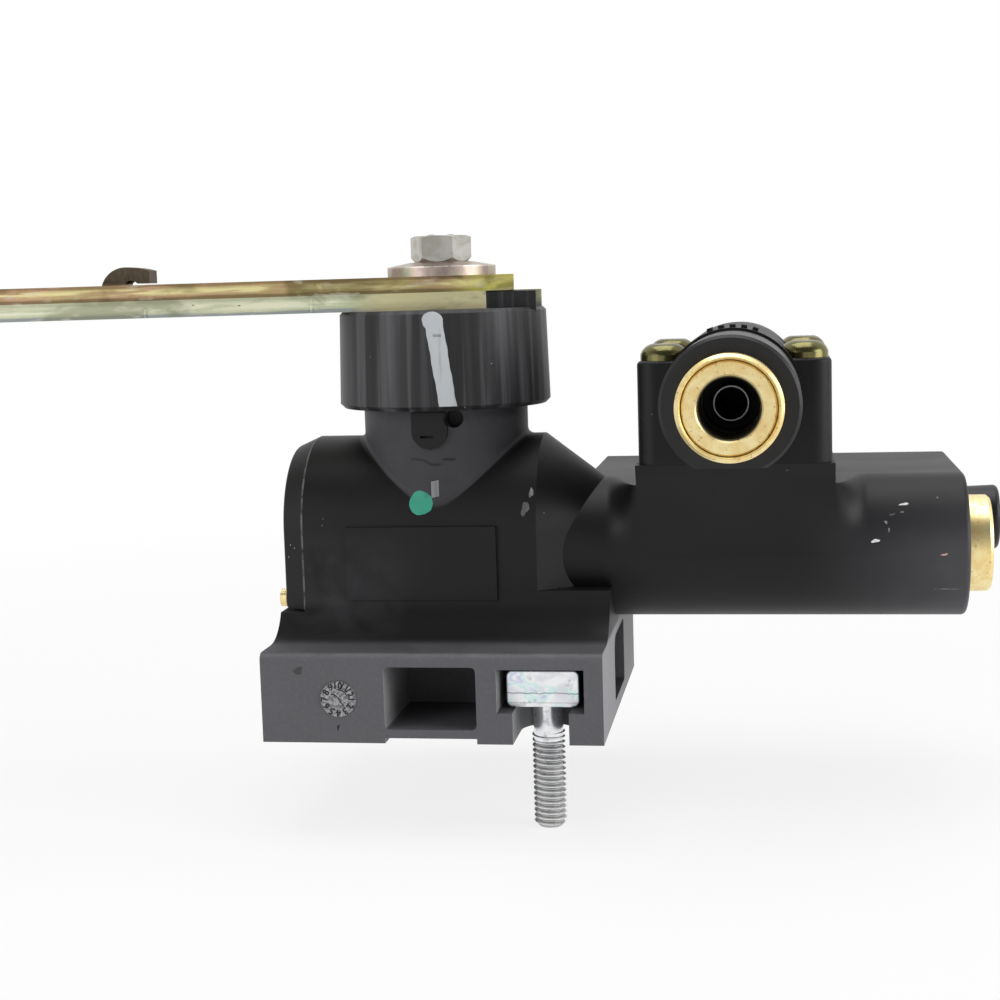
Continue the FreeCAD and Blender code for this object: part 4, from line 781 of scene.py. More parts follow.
@dataclass(frozen=True)
class PlainMetal(Finish):
    """Ground steel or turned aluminium."""

    tint: Colour = paint(180, 182, 185)
    shine: float = 0.3

    def apply(self, shader: Shader) -> None:
        """Sets the shader's nodes."""
        film = shader.noise(2 * MM, (1, 1, 1), 4.0)
        marks = shader.noise(0.2 * MM, (1, 1, 1), 2.0)
        shade = tuple(0.8 * level for level in self.tint[:3]) + (1.0,)
        shader.set(Base_Color=shader.blend(film, self.tint, shade), Metallic=1.0,
                   Roughness=self.shine + film * 0.12)
        shader.bump(marks, 0.006 * MM, 0.6)


@dataclass(frozen=True)
class Matt(Finish):
    """Rubber, bearing plastic or another dull material."""

    tint: Colour = paint(28, 28, 28)
    rough: float = 0.7

    def apply(self, shader: Shader) -> None:
        """Sets the shader's nodes."""
        film = shader.noise(1.5 * MM, (1, 1, 1), 4.0)
        grain = shader.noise(0.15 * MM, (1, 1, 1), 2.0)
        glow = tuple(1.25 * level for level in self.tint[:3]) + (1.0,)
        shader.set(Base_Color=shader.blend(film, self.tint, glow), Roughness=self.rough + grain * 0.1)
        shader.bump(grain, 0.01 * MM, 0.6)


@dataclass(frozen=True)
class ClockFace(Finish):
    """The moulded date clock's pale, pitted ground."""

    def apply(self, shader: Shader) -> None:
        """Sets the shader's nodes."""
        pits = shader.noise(0.5 * MM, (1, 1, 1), 4.0)
        shader.set(Base_Color=shader.blend(pits.above(0.5, 0.12), paint(96, 96, 99), paint(158, 158, 161)),
                   Roughness=0.55 + pits * 0.2)
        shader.bump(pits, 0.04 * MM, 0.9)


@dataclass(frozen=True)
class BrushedPaint(Finish):
    """Marking paint put on by hand: uneven cover over the black moulding."""

    tint: Colour = paint(180, 183, 186)
    thin: Colour = paint(146, 149, 152)
    wear: float = 0.64
    brush: Triple = (1, 1, 0.12)

    def apply(self, shader: Shader) -> None:
        """Sets the shader's nodes."""
        strokes = shader.noise(1.6 * MM, self.brush, 4.0, 0.4)
        grain = shader.noise(0.2 * MM, (1, 1, 1), 2.0)
        shader.set(Base_Color=shader.blend(strokes.above(self.wear, 0.1) * 0.8, self.tint, self.thin),
                   Roughness=0.5 + strokes * 0.2)
        shader.bump(strokes * 0.7 + grain * 0.3, 0.03 * MM, 0.7)


@dataclass(frozen=True)
class CapPlastic(GlassFilledPlastic):
    """The end cap's moulding, with a painted highlight along its seam and pale flecks at its foot."""

    seam: float = -25.0 * MM
    rub: Colour = paint(118, 118, 121)

    def apply(self, shader: Shader) -> None:
        """Sets the shader's nodes."""
        super().apply(shader)
        across, height = shader.along("X"), shader.along("Z")
        uneven = shader.noise(2 * MM, (1, 1, 1), 4.0)
        # Painted highlight: a pale, broken line along the seam between cap and body, where its rounded edge
        # catches the light.
        shader.cover(across.near(self.seam, 0.35 * MM) * uneven.above(0.42, 0.15) * 0.7, self.rub)
        flecks = shader.specks(1.2 * MM, 0.09, 0.4, (1, 1, 0.6))
        shader.cover(flecks * height.between(21 * MM, 34 * MM, 3 * MM) * 0.8, paint(176, 176, 178), 0.2)


BODY = HousingPlastic("housing_black")
BLOCK = GlassFilledPlastic("block_moulding", dark=paint(11, 11, 13), light=paint(22, 22, 24), gloss=1.33)
CAP = CapPlastic("end_cap_black")
HUB = HubPlastic("hub_black", dark=paint(22, 22, 24), light=paint(36, 36, 38), shine=0.34, gloss=1.38,
                 flow=(1, 1, 0.15))
SLEEVE = SmoothPlastic("sleeve_moulding")
SCREW_ZINC = YellowZinc("yellow_zinc_screws", stops=(
    (0.0, paint(66, 60, 34)), (0.4, paint(96, 90, 56)), (0.52, paint(114, 108, 70)),
    (0.64, paint(92, 96, 60)), (1.0, paint(138, 130, 104))), shine=0.1)
WASHER_ZINC = YellowZinc("washer_zinc", stops=(
    (0.0, paint(112, 98, 98)), (0.4, paint(154, 138, 134)), (0.52, paint(172, 156, 144)),
    (0.66, paint(168, 166, 144)), (1.0, paint(208, 200, 190))), shine=0.26, line_height=84.1 * MM,
    line=paint(222, 212, 204))
NUT_ZINC = BrightZinc("nut_zinc", tint=paint(190, 188, 182), film=paint(168, 165, 156), shine=0.22)
STEEL = PlainMetal("ground_steel")
ALUMINIUM = PlainMetal("turned_aluminium", tint=paint(206, 206, 208), shine=0.34)
RUBBER = Matt("seal_rubber")
BEARING = Matt("bearing_moulding", tint=paint(206, 202, 190), rough=0.5)
WHITE_PAINT = BrushedPaint("marking_paint_white")
THIN_PAINT = BrushedPaint("marking_paint_thin", tint=paint(140, 141, 143), thin=paint(104, 105, 107))
GREEN_PAINT = BrushedPaint("marking_paint_green", tint=paint(48, 152, 126), thin=paint(30, 118, 94),
                           wear=0.6, brush=(1, 1, 0.5))
CHIP = BrushedPaint("chip_white", tint=paint(216, 216, 216), thin=paint(160, 160, 162), wear=0.7)
SCUFF = BrushedPaint("rub_marks", tint=paint(120, 120, 122), thin=paint(62, 62, 64), wear=0.5)
RED_SPECK = BrushedPaint("red_speck", tint=paint(196, 150, 140), thin=paint(150, 100, 92))
CLOCK_FACE = ClockFace("clock_face")
DARK_MARK = Matt("dark_mark", tint=paint(9, 9, 10), rough=0.5)
SMUDGE = Matt("smudge", tint=paint(52, 52, 54), rough=0.6)


@dataclass(frozen=True)
class Wall:
    """A wall of the valve that marks lie on, as a point and its outward side for two places."""

    reach: Callable[[float, float], Tuple[Vector, Vector]]

    def on(self, across: float, up: float, proud: float) -> Vector:
        """A point on the wall, raised by a height.

        Args:
            across: place along the wall, in metres or radians.
            up: height in metres, or depth on a flat top.
            proud: how far the point stands off.

        Returns:
            The point.
        """
        point, side = self.reach(across, up)
        return point + side * proud


def upright_drum(radius_low: float, radius_high: float, low: float, high: float) -> Wall:
    """The wall of a drum round the lever's axis, placed by angle from the front.

    Args:
        radius_low: radius at its foot.
        radius_high: radius at its top.
        low: height of the foot.
        high: height of the top.

    Returns:
        The wall.
    """
    def reach(angle: float, height: float) -> Tuple[Vector, Vector]:
        share = (height - low) / (high - low)
        radius = radius_low + (radius_high - radius_low) * share
        side = Vector((math.sin(angle), -math.cos(angle), 0))
        return side * radius + Vector((0, 0, height)), side

    return Wall(reach)


def lying_drum(radius: float, axis_height: float, arched: bool = False, neck_radius: float = 0.0) -> Wall:
    """The front wall of a drum that lies along X, placed by X.

    Args:
        radius: its radius.
        axis_height: height of its axis.
        arched: whether it goes straight down below its axis.
        neck_radius: radius of an upright neck that stands proud of it, or 0.

    Returns:
        The wall.
    """
    def reach(across: float, height: float) -> Tuple[Vector, Vector]:
        rise = height - axis_height
        if arched:
            rise = max(rise, 0.0)
        depth = math.sqrt(max(radius * radius - rise * rise, 0.0))
        neck = math.sqrt(max(neck_radius * neck_radius - across * across, 0.0))
        side = Vector((across, -neck, 0)) if neck > depth else Vector((0, -depth, rise))
        return Vector((across, -max(depth, neck), height)), side.normalized()

    return Wall(reach)


def flat_wall(level: float, upright: bool) -> Wall:
    """A flat front face, placed by X and height, or a flat top, placed by X and depth.

    Args:
        level: the face's Y, or the top's height.
        upright: whether it is a front face.

    Returns:
        The wall.
    """
    def reach(across: float, up: float) -> Tuple[Vector, Vector]:
        if upright:
            return Vector((across, level, up)), Vector((0, -1, 0))
        return Vector((across, up, level)), Vector((0, 0, 1))

    return Wall(reach)


def finish_piece(name: str, bm: bmesh.types.BMesh, finish: Finish, body: str,
                 smooth: bool = True) -> bpy.types.Object:
    """Turns a bmesh into a piece that rides on a body.

    Args:
        name: the piece's name.
        bm: its mesh, which is freed.
        finish: its finish.
        body: the CAD body that it rides on.
        smooth: whether its faces are shaded smooth.

    Returns:
        The piece.
    """
    bmesh.ops.remove_doubles(bm, verts=bm.verts, dist=1e-7)
    bmesh.ops.recalc_face_normals(bm, faces=bm.faces)
    for face in bm.faces:
        face.smooth = smooth
    for edge in bm.edges:
        edge.smooth = edge.calc_face_angle(0.0) < SHARP_ANGLE
    mesh = bpy.data.meshes.new(name)
    bm.to_mesh(mesh)
    bm.free()
    mesh.materials.append(finish.material())
    piece = bpy.data.objects.new(name, mesh)
    bpy.context.scene.collection.objects.link(piece)
    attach(piece, body)
    LOG.info("%s: %d faces on %s", name, len(mesh.polygons), body)
    return piece


def wobble(angle: float, amount: float, seed: float) -> float:
    """A factor near 1 that makes a round outline uneven.

    Args:
        angle: the angle round the outline.
        amount: how uneven it is.
        seed: shifts the waves.

    Returns:
        The factor.
    """
    waves = ((1.0, 3, 1.0), (0.6, 5, 2.1), (0.4, 11, 1.0))
    total = sum(height * math.sin(count * angle + shift * seed) for height, count, shift in waves)
    return 1 + amount * total / 2


def daub(wall: Wall, across: float, up: float, half_width: float, half_height: float, thick: float,
         uneven: float = 0.08, seed: float = 1.0, lean: float = 0.0) -> bmesh.types.BMesh:
    """A dab of paint: a thin uneven oval that follows a wall.

    Args:
        wall: the wall.
        across: its middle along the wall.
        up: its middle's height.
        half_width: half its width, in the wall's own unit.
        half_height: half its height.
        thick: its thickness.
        uneven: how uneven its outline is.
        seed: shifts the outline's waves.
        lean: how far its top leans across, as a share of its half width.

    Returns:
        The dab.
    """
    bm = bmesh.new()
    verts = [bm.verts.new((ring / DAUB_RINGS, 0, 0)) for ring in range(DAUB_RINGS + 1)]
    edges = [bm.edges.new(pair) for pair in zip(verts, verts[1:])]
    bmesh.ops.spin(bm, geom=verts + edges, cent=(0, 0, 0), axis=(0, 0, 1), angle=FULL_TURN, steps=DAUB_STEPS,
                   use_merge=True, use_duplicate=False)
    bmesh.ops.remove_doubles(bm, verts=bm.verts, dist=1e-6)
    for vert in bm.verts:
        angle = math.atan2(vert.co.y, vert.co.x)
        factor = wobble(angle, uneven, seed)
        first, second = vert.co.x * factor, vert.co.y * factor
        crown = 1 - min(vert.co.xy.length, 1.0) ** 4
        place = across + (first + lean * second) * half_width
        proud = thick * (DAUB_RIM + (1 - DAUB_RIM) * crown)
        vert.co = wall.on(place, up + second * half_height, proud)
    close_behind(bm, thick)
    return bm


def close_behind(bm: bmesh.types.BMesh, thick: float) -> None:
    """Closes a thin sheet into a shell.

    Args:
        bm: the sheet.
        thick: the shell's wall.
    """
    bmesh.ops.recalc_face_normals(bm, faces=bm.faces)
    bmesh.ops.solidify(bm, geom=bm.faces[:], thickness=thick)


def strip(wall: Wall, path: Sequence[Tuple[float, float]], half_width: float, thick: float,
          steps: int = 24, taper: bool = True) -> bmesh.types.BMesh:
    """A raised line on a wall, through points joined by straight runs.

    Args:
        wall: the wall.
        path: its points, as place along the wall and height.
        half_width: half the line's width, in metres up the wall.
        thick: how far it stands proud.
        steps: faces along it.
        taper: whether its ends narrow.

    Returns:
        The line.
    """
    bm = bmesh.new()
    bmesh.ops.create_grid(bm, x_segments=steps, y_segments=2, size=1.0)
    for vert in bm.verts:
        share = (vert.co.x + 1) / 2
        run = min(int(share * (len(path) - 1)), len(path) - 2)
        part = share * (len(path) - 1) - run
        across = path[run][0] + (path[run + 1][0] - path[run][0]) * part
        up = path[run][1] + (path[run + 1][1] - path[run][1]) * part
        end = min(1.0, 4 * min(share, 1 - share) + STRIP_TIP) if taper else 1.0
        vert.co = wall.on(across, up + vert.co.y * half_width * end, thick)
    close_behind(bm, thick * 1.5)
    return bm


def bar(size: Vector, edge: float) -> bmesh.types.BMesh:
    """A small block with rounded edges, round the origin.

    Args:
        size: its length along each axis.
        edge: the radius of its edges.

    Returns:
        The block.
    """
    bm = bmesh.new()
    bmesh.ops.create_cube(bm, size=1.0)
    bmesh.ops.scale(bm, verts=bm.verts, vec=size)
    bmesh.ops.bevel(bm, geom=bm.edges[:], offset=edge, segments=3, profile=0.5, affect="EDGES", material=-1)
    return bm


class Studio:
    """The camera that took the picture, its floor, white surroundings and soft lamps."""

    yaw: float = 0.160
    pitch: float = 0.122
    roll: float = -0.030
    focal_px: float = 1763.2
    picture_px: float = 1000.0
    sensor_mm: float = 36.0
    eye: Triple = (63.35, -331.3, 80.6)
    sight: Tuple[float, float] = (0.01, 20.0)
    floor_gap: float = 0.0002
    floor_half: float = 6.0
    floor_white: float = 0.86
    glow_near: float = 0.80
    clear_from: float = 0.30
    fill: float = 0.42
    room_dark: float = 0.10
    room_beside: float = 0.8
    room_ahead: float = 0.42
    lamp_aim: Triple = (0.03, 0.0, 0.04)
    lamps: Tuple[Tuple[str, Triple, float, float], ...] = (
        ("overhead_lamp", (0.02, 0.05, 0.75), 0.6, 3.0),
        ("right_lamp", (0.75, -0.20, 0.25), 0.5, 3.4),
        ("left_lamp", (-0.55, -0.65, 0.30), 0.5, 2.4),
    )

    def build(self, lowest: float) -> None:
        """Makes the camera, the floor and the light.

        Args:
            lowest: height of the lowest point of the valve.
        """
        self.add_camera()
        self.add_floor(lowest - self.floor_gap)
        self.add_world()
        for name, place, size, power in self.lamps:
            self.add_lamp(name, place, size, power)
        bpy.context.scene.view_settings.view_transform = "Standard"

    def add_camera(self) -> None:
        """Places the camera at the picture's viewpoint."""
        turn, tip = self.yaw, self.pitch
        ahead = Vector((-math.sin(turn) * math.cos(tip), math.cos(turn) * math.cos(tip), -math.sin(tip)))
        level = Vector((math.cos(turn), math.sin(turn), 0))
        upright = level.cross(ahead)
        right = level * math.cos(self.roll) + upright * math.sin(self.roll)
        up = upright * math.cos(self.roll) - level * math.sin(self.roll)
        data = bpy.data.cameras.new("picture_camera")
        data.sensor_width = self.sensor_mm
        data.lens = self.focal_px / self.picture_px * self.sensor_mm
        data.clip_start, data.clip_end = self.sight
        camera = bpy.data.objects.new("picture_camera", data)
        axes = Matrix((right, up, -ahead)).transposed().to_4x4()
        camera.matrix_world = Matrix.Translation(mm(*self.eye)) @ axes
        bpy.context.scene.collection.objects.link(camera)
        bpy.context.scene.camera = camera

    def add_floor(self, height: float) -> None:
        """Lays a wide white floor under the valve.

        Args:
            height: the floor's height.
        """
        bm = bmesh.new()
        bmesh.ops.create_grid(bm, x_segments=1, y_segments=1, size=self.floor_half)
        bmesh.ops.translate(bm, verts=bm.verts, vec=(0, 0, height))
        mesh = bpy.data.meshes.new("floor")
        bm.to_mesh(mesh)
        bm.free()
        mesh.materials.append(self.floor_material())
        floor = bpy.data.objects.new("floor", mesh)
        bpy.context.scene.collection.objects.link(floor)
        floor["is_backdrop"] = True

    def floor_material(self) -> bpy.types.Material:
        """White to the camera and in reflections, with a faint shadow under the valve."""
        shader = Shader("white_floor")
        shader.set(Base_Color=(self.floor_white, self.floor_white, self.floor_white, 1), Roughness=0.9)
        glow = shader.node("ShaderNodeEmission", {}, {"Color": WHITE, "Strength": 1.0})
        far = shader.distance(Vector(), "Z").above(self.clear_from, self.clear_from / 2)
        share = shader.seen("Is Camera Ray", "Is Glossy Ray", "Is Transmission Ray") * (
            self.glow_near + far * (1 - self.glow_near))
        mixed = shader.node("ShaderNodeMixShader", {}, {0: share, 1: shader.surface.outputs[0],
                                                        2: glow.outputs[0]})
        shader.feed(shader.output.inputs[0], mixed.outputs[0])
        return shader.material

    def add_world(self) -> None:
        """White to the camera and behind the valve, grey ahead and dark above that, with an even fill."""
        world = bpy.data.worlds.new("studio")
        world.use_nodes = True
        sky = Nodes(world.node_tree)
        output = sky.node("ShaderNodeOutputWorld")
        source = sky.node("ShaderNodeTexCoord")
        way = sky.node("ShaderNodeSeparateXYZ", {}, {0: source.outputs["Generated"]})
        behind = Signal(sky, way.outputs["Y"]).above(-0.05, 0.45)
        beside = Signal(sky, way.outputs["X"]).size().above(0.75, 0.3) * self.room_beside
        ahead = (1 - Signal(sky, way.outputs["Z"]).above(0.3, 0.25)) * self.room_ahead
        room = self.room_dark + behind.larger(beside).larger(ahead) * (1 - self.room_dark)
        mirrored = sky.seen("Is Glossy Ray", "Is Transmission Ray")
        level = (1 - mirrored) * self.fill + mirrored * room
        strength = level.larger(sky.seen("Is Camera Ray"))
        light = sky.node("ShaderNodeBackground", {}, {"Color": WHITE, "Strength": strength})
        sky.feed(output.inputs[0], light.outputs[0])
        bpy.context.scene.world = world

    def add_lamp(self, name: str, place: Triple, size: float, power: float) -> None:
        """A square area lamp that faces the valve.

        Args:
            name: its name.
            place: where it stands.
            size: its side in metres.
            power: its power in watts.
        """
        data = bpy.data.lights.new(name, "AREA")
        data.size = size
        data.energy = power
        lamp = bpy.data.objects.new(name, data)
        lamp.location = place
        aim = Vector(self.lamp_aim) - Vector(place)
        lamp.rotation_euler = aim.to_track_quat("-Z", "Y").to_euler()
        bpy.context.scene.collection.objects.link(lamp)


@dataclass
class Assembly:
    """A group of pieces of the valve, built round the frame's nodes."""

    nodes: Dict[str, bpy.types.Object]

    def dress(self, finish: Finish, *names: str) -> None:
        """Gives frame nodes a finish.

        Args:
            finish: the finish.
            names: the nodes.
        """
        for name in names:
            data = self.nodes[name].data
            data.materials.clear()
            data.materials.append(finish.material())
            LOG.info("%s: %s", name, finish.name)


@dataclass
class Housing(Assembly):
    """The moulded body and its cap, with the marks of the mould and of the workshop."""

    chamber_radius: float = 16.5 * MM
    chamber_axis: float = 35.8 * MM
    neck_radius: float = 15.6 * MM
    barrel_radius: float = 13.2 * MM
    barrel_axis: float = 30.6 * MM
    flat_top: float = 43.8 * MM
    riser_sides: Tuple[float, float] = (37.3 * MM, 72.7 * MM)
    riser_top: float = 47.55 * MM
    riser_lean: float = 4.0 * MM
    riser_fade: float = 6.0 * MM
    riser_wall: Triple = (0.0, 0.7 * MM, -0.5 * MM)
    riser_rows: int = 17
    riser_steps: int = 14
    skin: float = 0.02 * MM
    base_front: float = -32.2 * MM
    clock_centre: Triple = (-15.2 * MM, -32.4 * MM, 8.0 * MM)
    clock_radius: float = 3.3 * MM
    clock_arc_radius: float = 1.75 * MM
    number_ring: float = 0.74
    digit_size: float = 1.75 * MM
    top_number: int = 10
    pointer_reach: float = 1.25 * MM
    pointer_lean: float = 40.0
    mark_level: float = 48.95 * MM
    mark_sag: float = 48.0 * MM

    def build(self) -> None:
        """Builds and dresses everything of the housing."""
        self.dress(BODY, "valve_body")
        self.dress(CAP, "end_cap")
        self.dress(TurnedBrass("brass_cap_screws", along="X"), "end_cap_screws")
        self.dress(RUBBER, "end_cap_seal", "manifold_seal", "shaft_seal", "spool_seals", "damper_ring")
        self.dress(BEARING, "neck_bush", "thrust_washer", "check_poppet")
        self.dress(STEEL, "bush_clip", "supply_filter", "check_spring")
        self.dress(ALUMINIUM, "spool", "damper_piston")
        low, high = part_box("check_seat")
        self.dress(TurnedBrass("brass_check_seat", centre=tuple((low + high) / 2), along="X"), "check_seat")
        self.add_riser_front()
        self.add_paint()
        self.add_direction_marks()
        self.add_clock()
        self.add_rubs()

    def add_riser_front(self) -> None:
        """The riser's front, swept from the barrel out to the block's foot and faded out on both sides."""
        (left, right), rows = self.riser_sides, self.riser_rows
        fades = [self.riser_fade * step / self.riser_steps for step in range(self.riser_steps + 1)]
        columns = [left - fade for fade in reversed(fades)] + [left + self.skin, right - self.skin]
        columns += [right + fade for fade in fades]
        bm = bmesh.new()
        bmesh.ops.create_grid(bm, x_segments=len(columns) - 1, y_segments=rows, size=1.0)
        for vert in bm.verts:
            column = round((vert.co.x + 1) / 2 * (len(columns) - 1))
            row = round((vert.co.y + 1) / 2 * rows)
            vert.co = self.riser_point(columns[column], min(row / (rows - 1), 1.0))
            if row == rows:
                vert.co.y = self.skin
        shell = bmesh.ops.extrude_face_region(bm, geom=bm.faces[:])
        moved = [item for item in shell["geom"] if isinstance(item, bmesh.types.BMVert)]
        bmesh.ops.translate(bm, verts=moved, vec=self.riser_wall)
        finish_piece("riser_front", bm, BODY, "housing")

    def riser_point(self, across: float, share: float) -> Vector:
        """A point on the riser's front.

        Args:
            across: its X.
            share: how far up it lies, from 0 at the barrel's widest to 1 at the top.

        Returns:
            The point.
        """
        left, right = self.riser_sides
        aside = min(max(left - across, across - right, 0.0) / self.riser_fade, 1.0)
        within = left < across < right
        top = (self.riser_top if within else self.flat_top + self.skin) - self.barrel_axis
        rise = top * math.sin(share * math.pi / 2)
        drum = math.sqrt(max(self.barrel_radius ** 2 - rise * rise, 0.0))
        front = self.barrel_radius + self.riser_lean * (rise / (self.riser_top - self.barrel_axis)) ** 2
        depth = drum + (front - drum) * (1 - aside * aside * (3 - 2 * aside))
        return Vector((across, -depth - self.skin, self.barrel_axis + rise))

    def chamber(self) -> Wall:
        """The chamber's front wall."""
        return lying_drum(self.chamber_radius, self.chamber_axis, True)

    def front(self) -> Wall:
        """Whichever of the chamber's and the neck's front walls stands further out."""
        return lying_drum(self.chamber_radius, self.chamber_axis, True, self.neck_radius)

    def neck(self) -> Wall:
        """The neck's wall."""
        return upright_drum(self.neck_radius, self.neck_radius, 0.0, 1.0)

    def barrel(self) -> Wall:
        """The front wall of the long barrel."""
        return lying_drum(self.barrel_radius, self.barrel_axis)

    def add_mark(self, name: str, bm: bmesh.types.BMesh, finish: Finish, smooth: bool = True) -> None:
        """Puts a mark on the housing.

        Args:
            name: its name.
            bm: its mesh.
            finish: its finish.
            smooth: whether it is shaded smooth.
        """
        finish_piece(name, bm, finish, "housing", smooth)

    def add_paint(self) -> None:
        """The green inspection dot and the small grey dab above it."""
        dot = daub(self.front(), -2.35 * MM, 41.0 * MM, 2.2 * MM, 2.2 * MM, 0.08 * MM, 0.06, 2.3)
        self.add_mark("green_dot", dot, GREEN_PAINT)
        dab = strip(self.neck(), [(-0.02, 43.4 * MM), (0.07, 43.7 * MM)], 1.5 * MM, 0.04 * MM, taper=False)
        self.add_mark("grey_dab", dab, THIN_PAINT)

    def add_direction_marks(self) -> None:
        """Raised dashes and a shallow arc that show which ways the lever turns."""
        level, sag = self.mark_level, self.mark_sag
        runs = {
            "mark_left": [(-0.27, level + 0.1 * MM), (-0.115, level)],
            "mark_arc": [(-0.115, level), (-0.06, (level + sag) / 2), (0.0, sag), (0.06, sag),
                         (0.11, sag + 0.15 * MM)],
            "mark_right": [(0.125, level), (0.28, level)],
        }
        for name, path in runs.items():
            self.add_mark(name, strip(self.neck(), path, 0.2 * MM, 0.1 * MM), DARK_MARK)

    def add_clock(self) -> None:
        """The moulding date clock: a pitted face, numbers 1 to 12, a plain pointer and part of a ring."""
        centre = Vector(self.clock_centre)
        face = flat_wall(centre.y, True)
        reach = self.clock_radius * 0.97
        disc = daub(face, centre.x, centre.z, reach, reach, 0.03 * MM, 0.0)
        self.add_mark("clock_face", disc, CLOCK_FACE)
        ring = self.clock_radius * self.number_ring
        for number in range(1, 13):
            angle = math.radians(90 - 30 * (number - self.top_number))
            place = centre + Vector((math.cos(angle), 0, math.sin(angle))) * ring
            self.add_number(str(number), place, math.pi / 2 - angle)
        lean = math.radians(self.pointer_lean)
        tip = Vector((-math.sin(lean), math.cos(lean))) * self.pointer_reach
        tail = Vector((1.05, -1.15)) * MM
        points = {
            "clock_pointer": [tip, tip * 0.3 + Vector((0.15, 0.1)) * MM, tail * 0.5, tail],
            "clock_barb": [tip + Vector((-0.5, -0.1)) * MM, tip, tip + Vector((0.25, -0.4)) * MM],
        }
        for name, path in points.items():
            line = [(centre.x + point.x, centre.z + point.y) for point in path]
            self.add_mark(name, strip(face, line, 0.13 * MM, 0.09 * MM), DARK_MARK)
        bend = self.clock_arc_radius
        turns = [math.radians(100 - 14 * step) for step in range(8)]
        arc = [(centre.x + bend * math.cos(turn), centre.z + bend * math.sin(turn)) for turn in turns]
        self.add_mark("clock_arc", strip(face, arc, 0.11 * MM, 0.08 * MM, steps=42), DARK_MARK)

    def add_number(self, word: str, place: Vector, turn: float) -> None:
        """One raised number on the clock.

        Args:
            word: the number.
            place: its middle.
            turn: its turn round the clock's axis.
        """
        data = bpy.data.curves.new("clock_" + word, "FONT")
        data.body = word
        data.size = self.digit_size
        data.extrude = 0.07 * MM
        data.offset = 0.035 * MM
        data.align_x = "CENTER"
        data.align_y = "CENTER"
        data.resolution_u = 2
        text = bpy.data.objects.new("clock_" + word, data)
        bpy.context.scene.collection.objects.link(text)
        mesh = bpy.data.meshes.new_from_object(text)
        bpy.data.objects.remove(text)
        upright = Matrix.Rotation(math.pi / 2, 4, "X")
        mesh.transform(Matrix.Translation(place) @ Matrix.Rotation(turn, 4, "Y") @ upright)
        bm = bmesh.new()
        bm.from_mesh(mesh)
        self.add_mark("clock_number_" + word, bm, DARK_MARK, False)

    def add_rubs(self) -> None:
        """Rub marks, chips and specks that handling left."""
        chamber, barrel = self.chamber(), self.barrel()
        base, top = flat_wall(self.base_front, True), flat_wall(self.flat_top, False)
        marks = [
            ("rub_shoulder", chamber, 17.0, 39.8, 0.65, 1.25, 0.5, SCUFF),
            ("rub_shoulder_top", chamber, 18.1, 42.6, 0.4, 0.8, 0.3, SCUFF),
            ("chip_barrel_upper", barrel, 84.9, 39.2, 0.75, 0.2, 0.5, CHIP),
            ("chip_barrel_second", barrel, 84.5, 37.9, 0.32, 0.14, 0.0, SCUFF),
            ("chip_barrel_third", barrel, 82.7, 37.5, 0.4, 0.14, 0.8, SCUFF),
            ("chip_barrel_fourth", barrel, 81.6, 36.2, 0.24, 0.3, -0.4, SCUFF),
            ("chip_barrel_fifth", barrel, 82.1, 34.9, 0.13, 0.38, 0.0, SCUFF),
            ("chip_barrel_lower", barrel, 79.7, 33.0, 0.72, 0.3, 0.4, CHIP),
            ("chip_barrel_right", barrel, 90.8, 40.2, 0.16, 0.14, 0.0, SCUFF),
            ("red_speck", barrel, 91.7, 30.5, 0.5, 0.18, 0.6, RED_SPECK),
            ("base_smudge", base, -22.4, 13.1, 0.8, 0.7, 0.2, SMUDGE),
            ("base_fleck", base, -15.4, 2.8, 0.22, 0.55, 0.6, DARK_MARK),
            ("top_stain", top, 85.0, 22.5, 2.0, 1.5, 0.3, SMUDGE),
        ]
        for seed, (name, wall, across, up, wide, high, lean, finish) in enumerate(marks):
            mark = daub(wall, across * MM, up * MM, wide * MM, high * MM, 0.03 * MM, 0.3, 1.0 + seed, lean)
            self.add_mark(name, mark, finish)
        seam = strip(barrel, [(89.9 * MM, 24.0 * MM), (95.2 * MM, 24.0 * MM)], 0.07 * MM, 0.04 * MM)
        self.add_mark("mould_seam", seam, SCUFF)


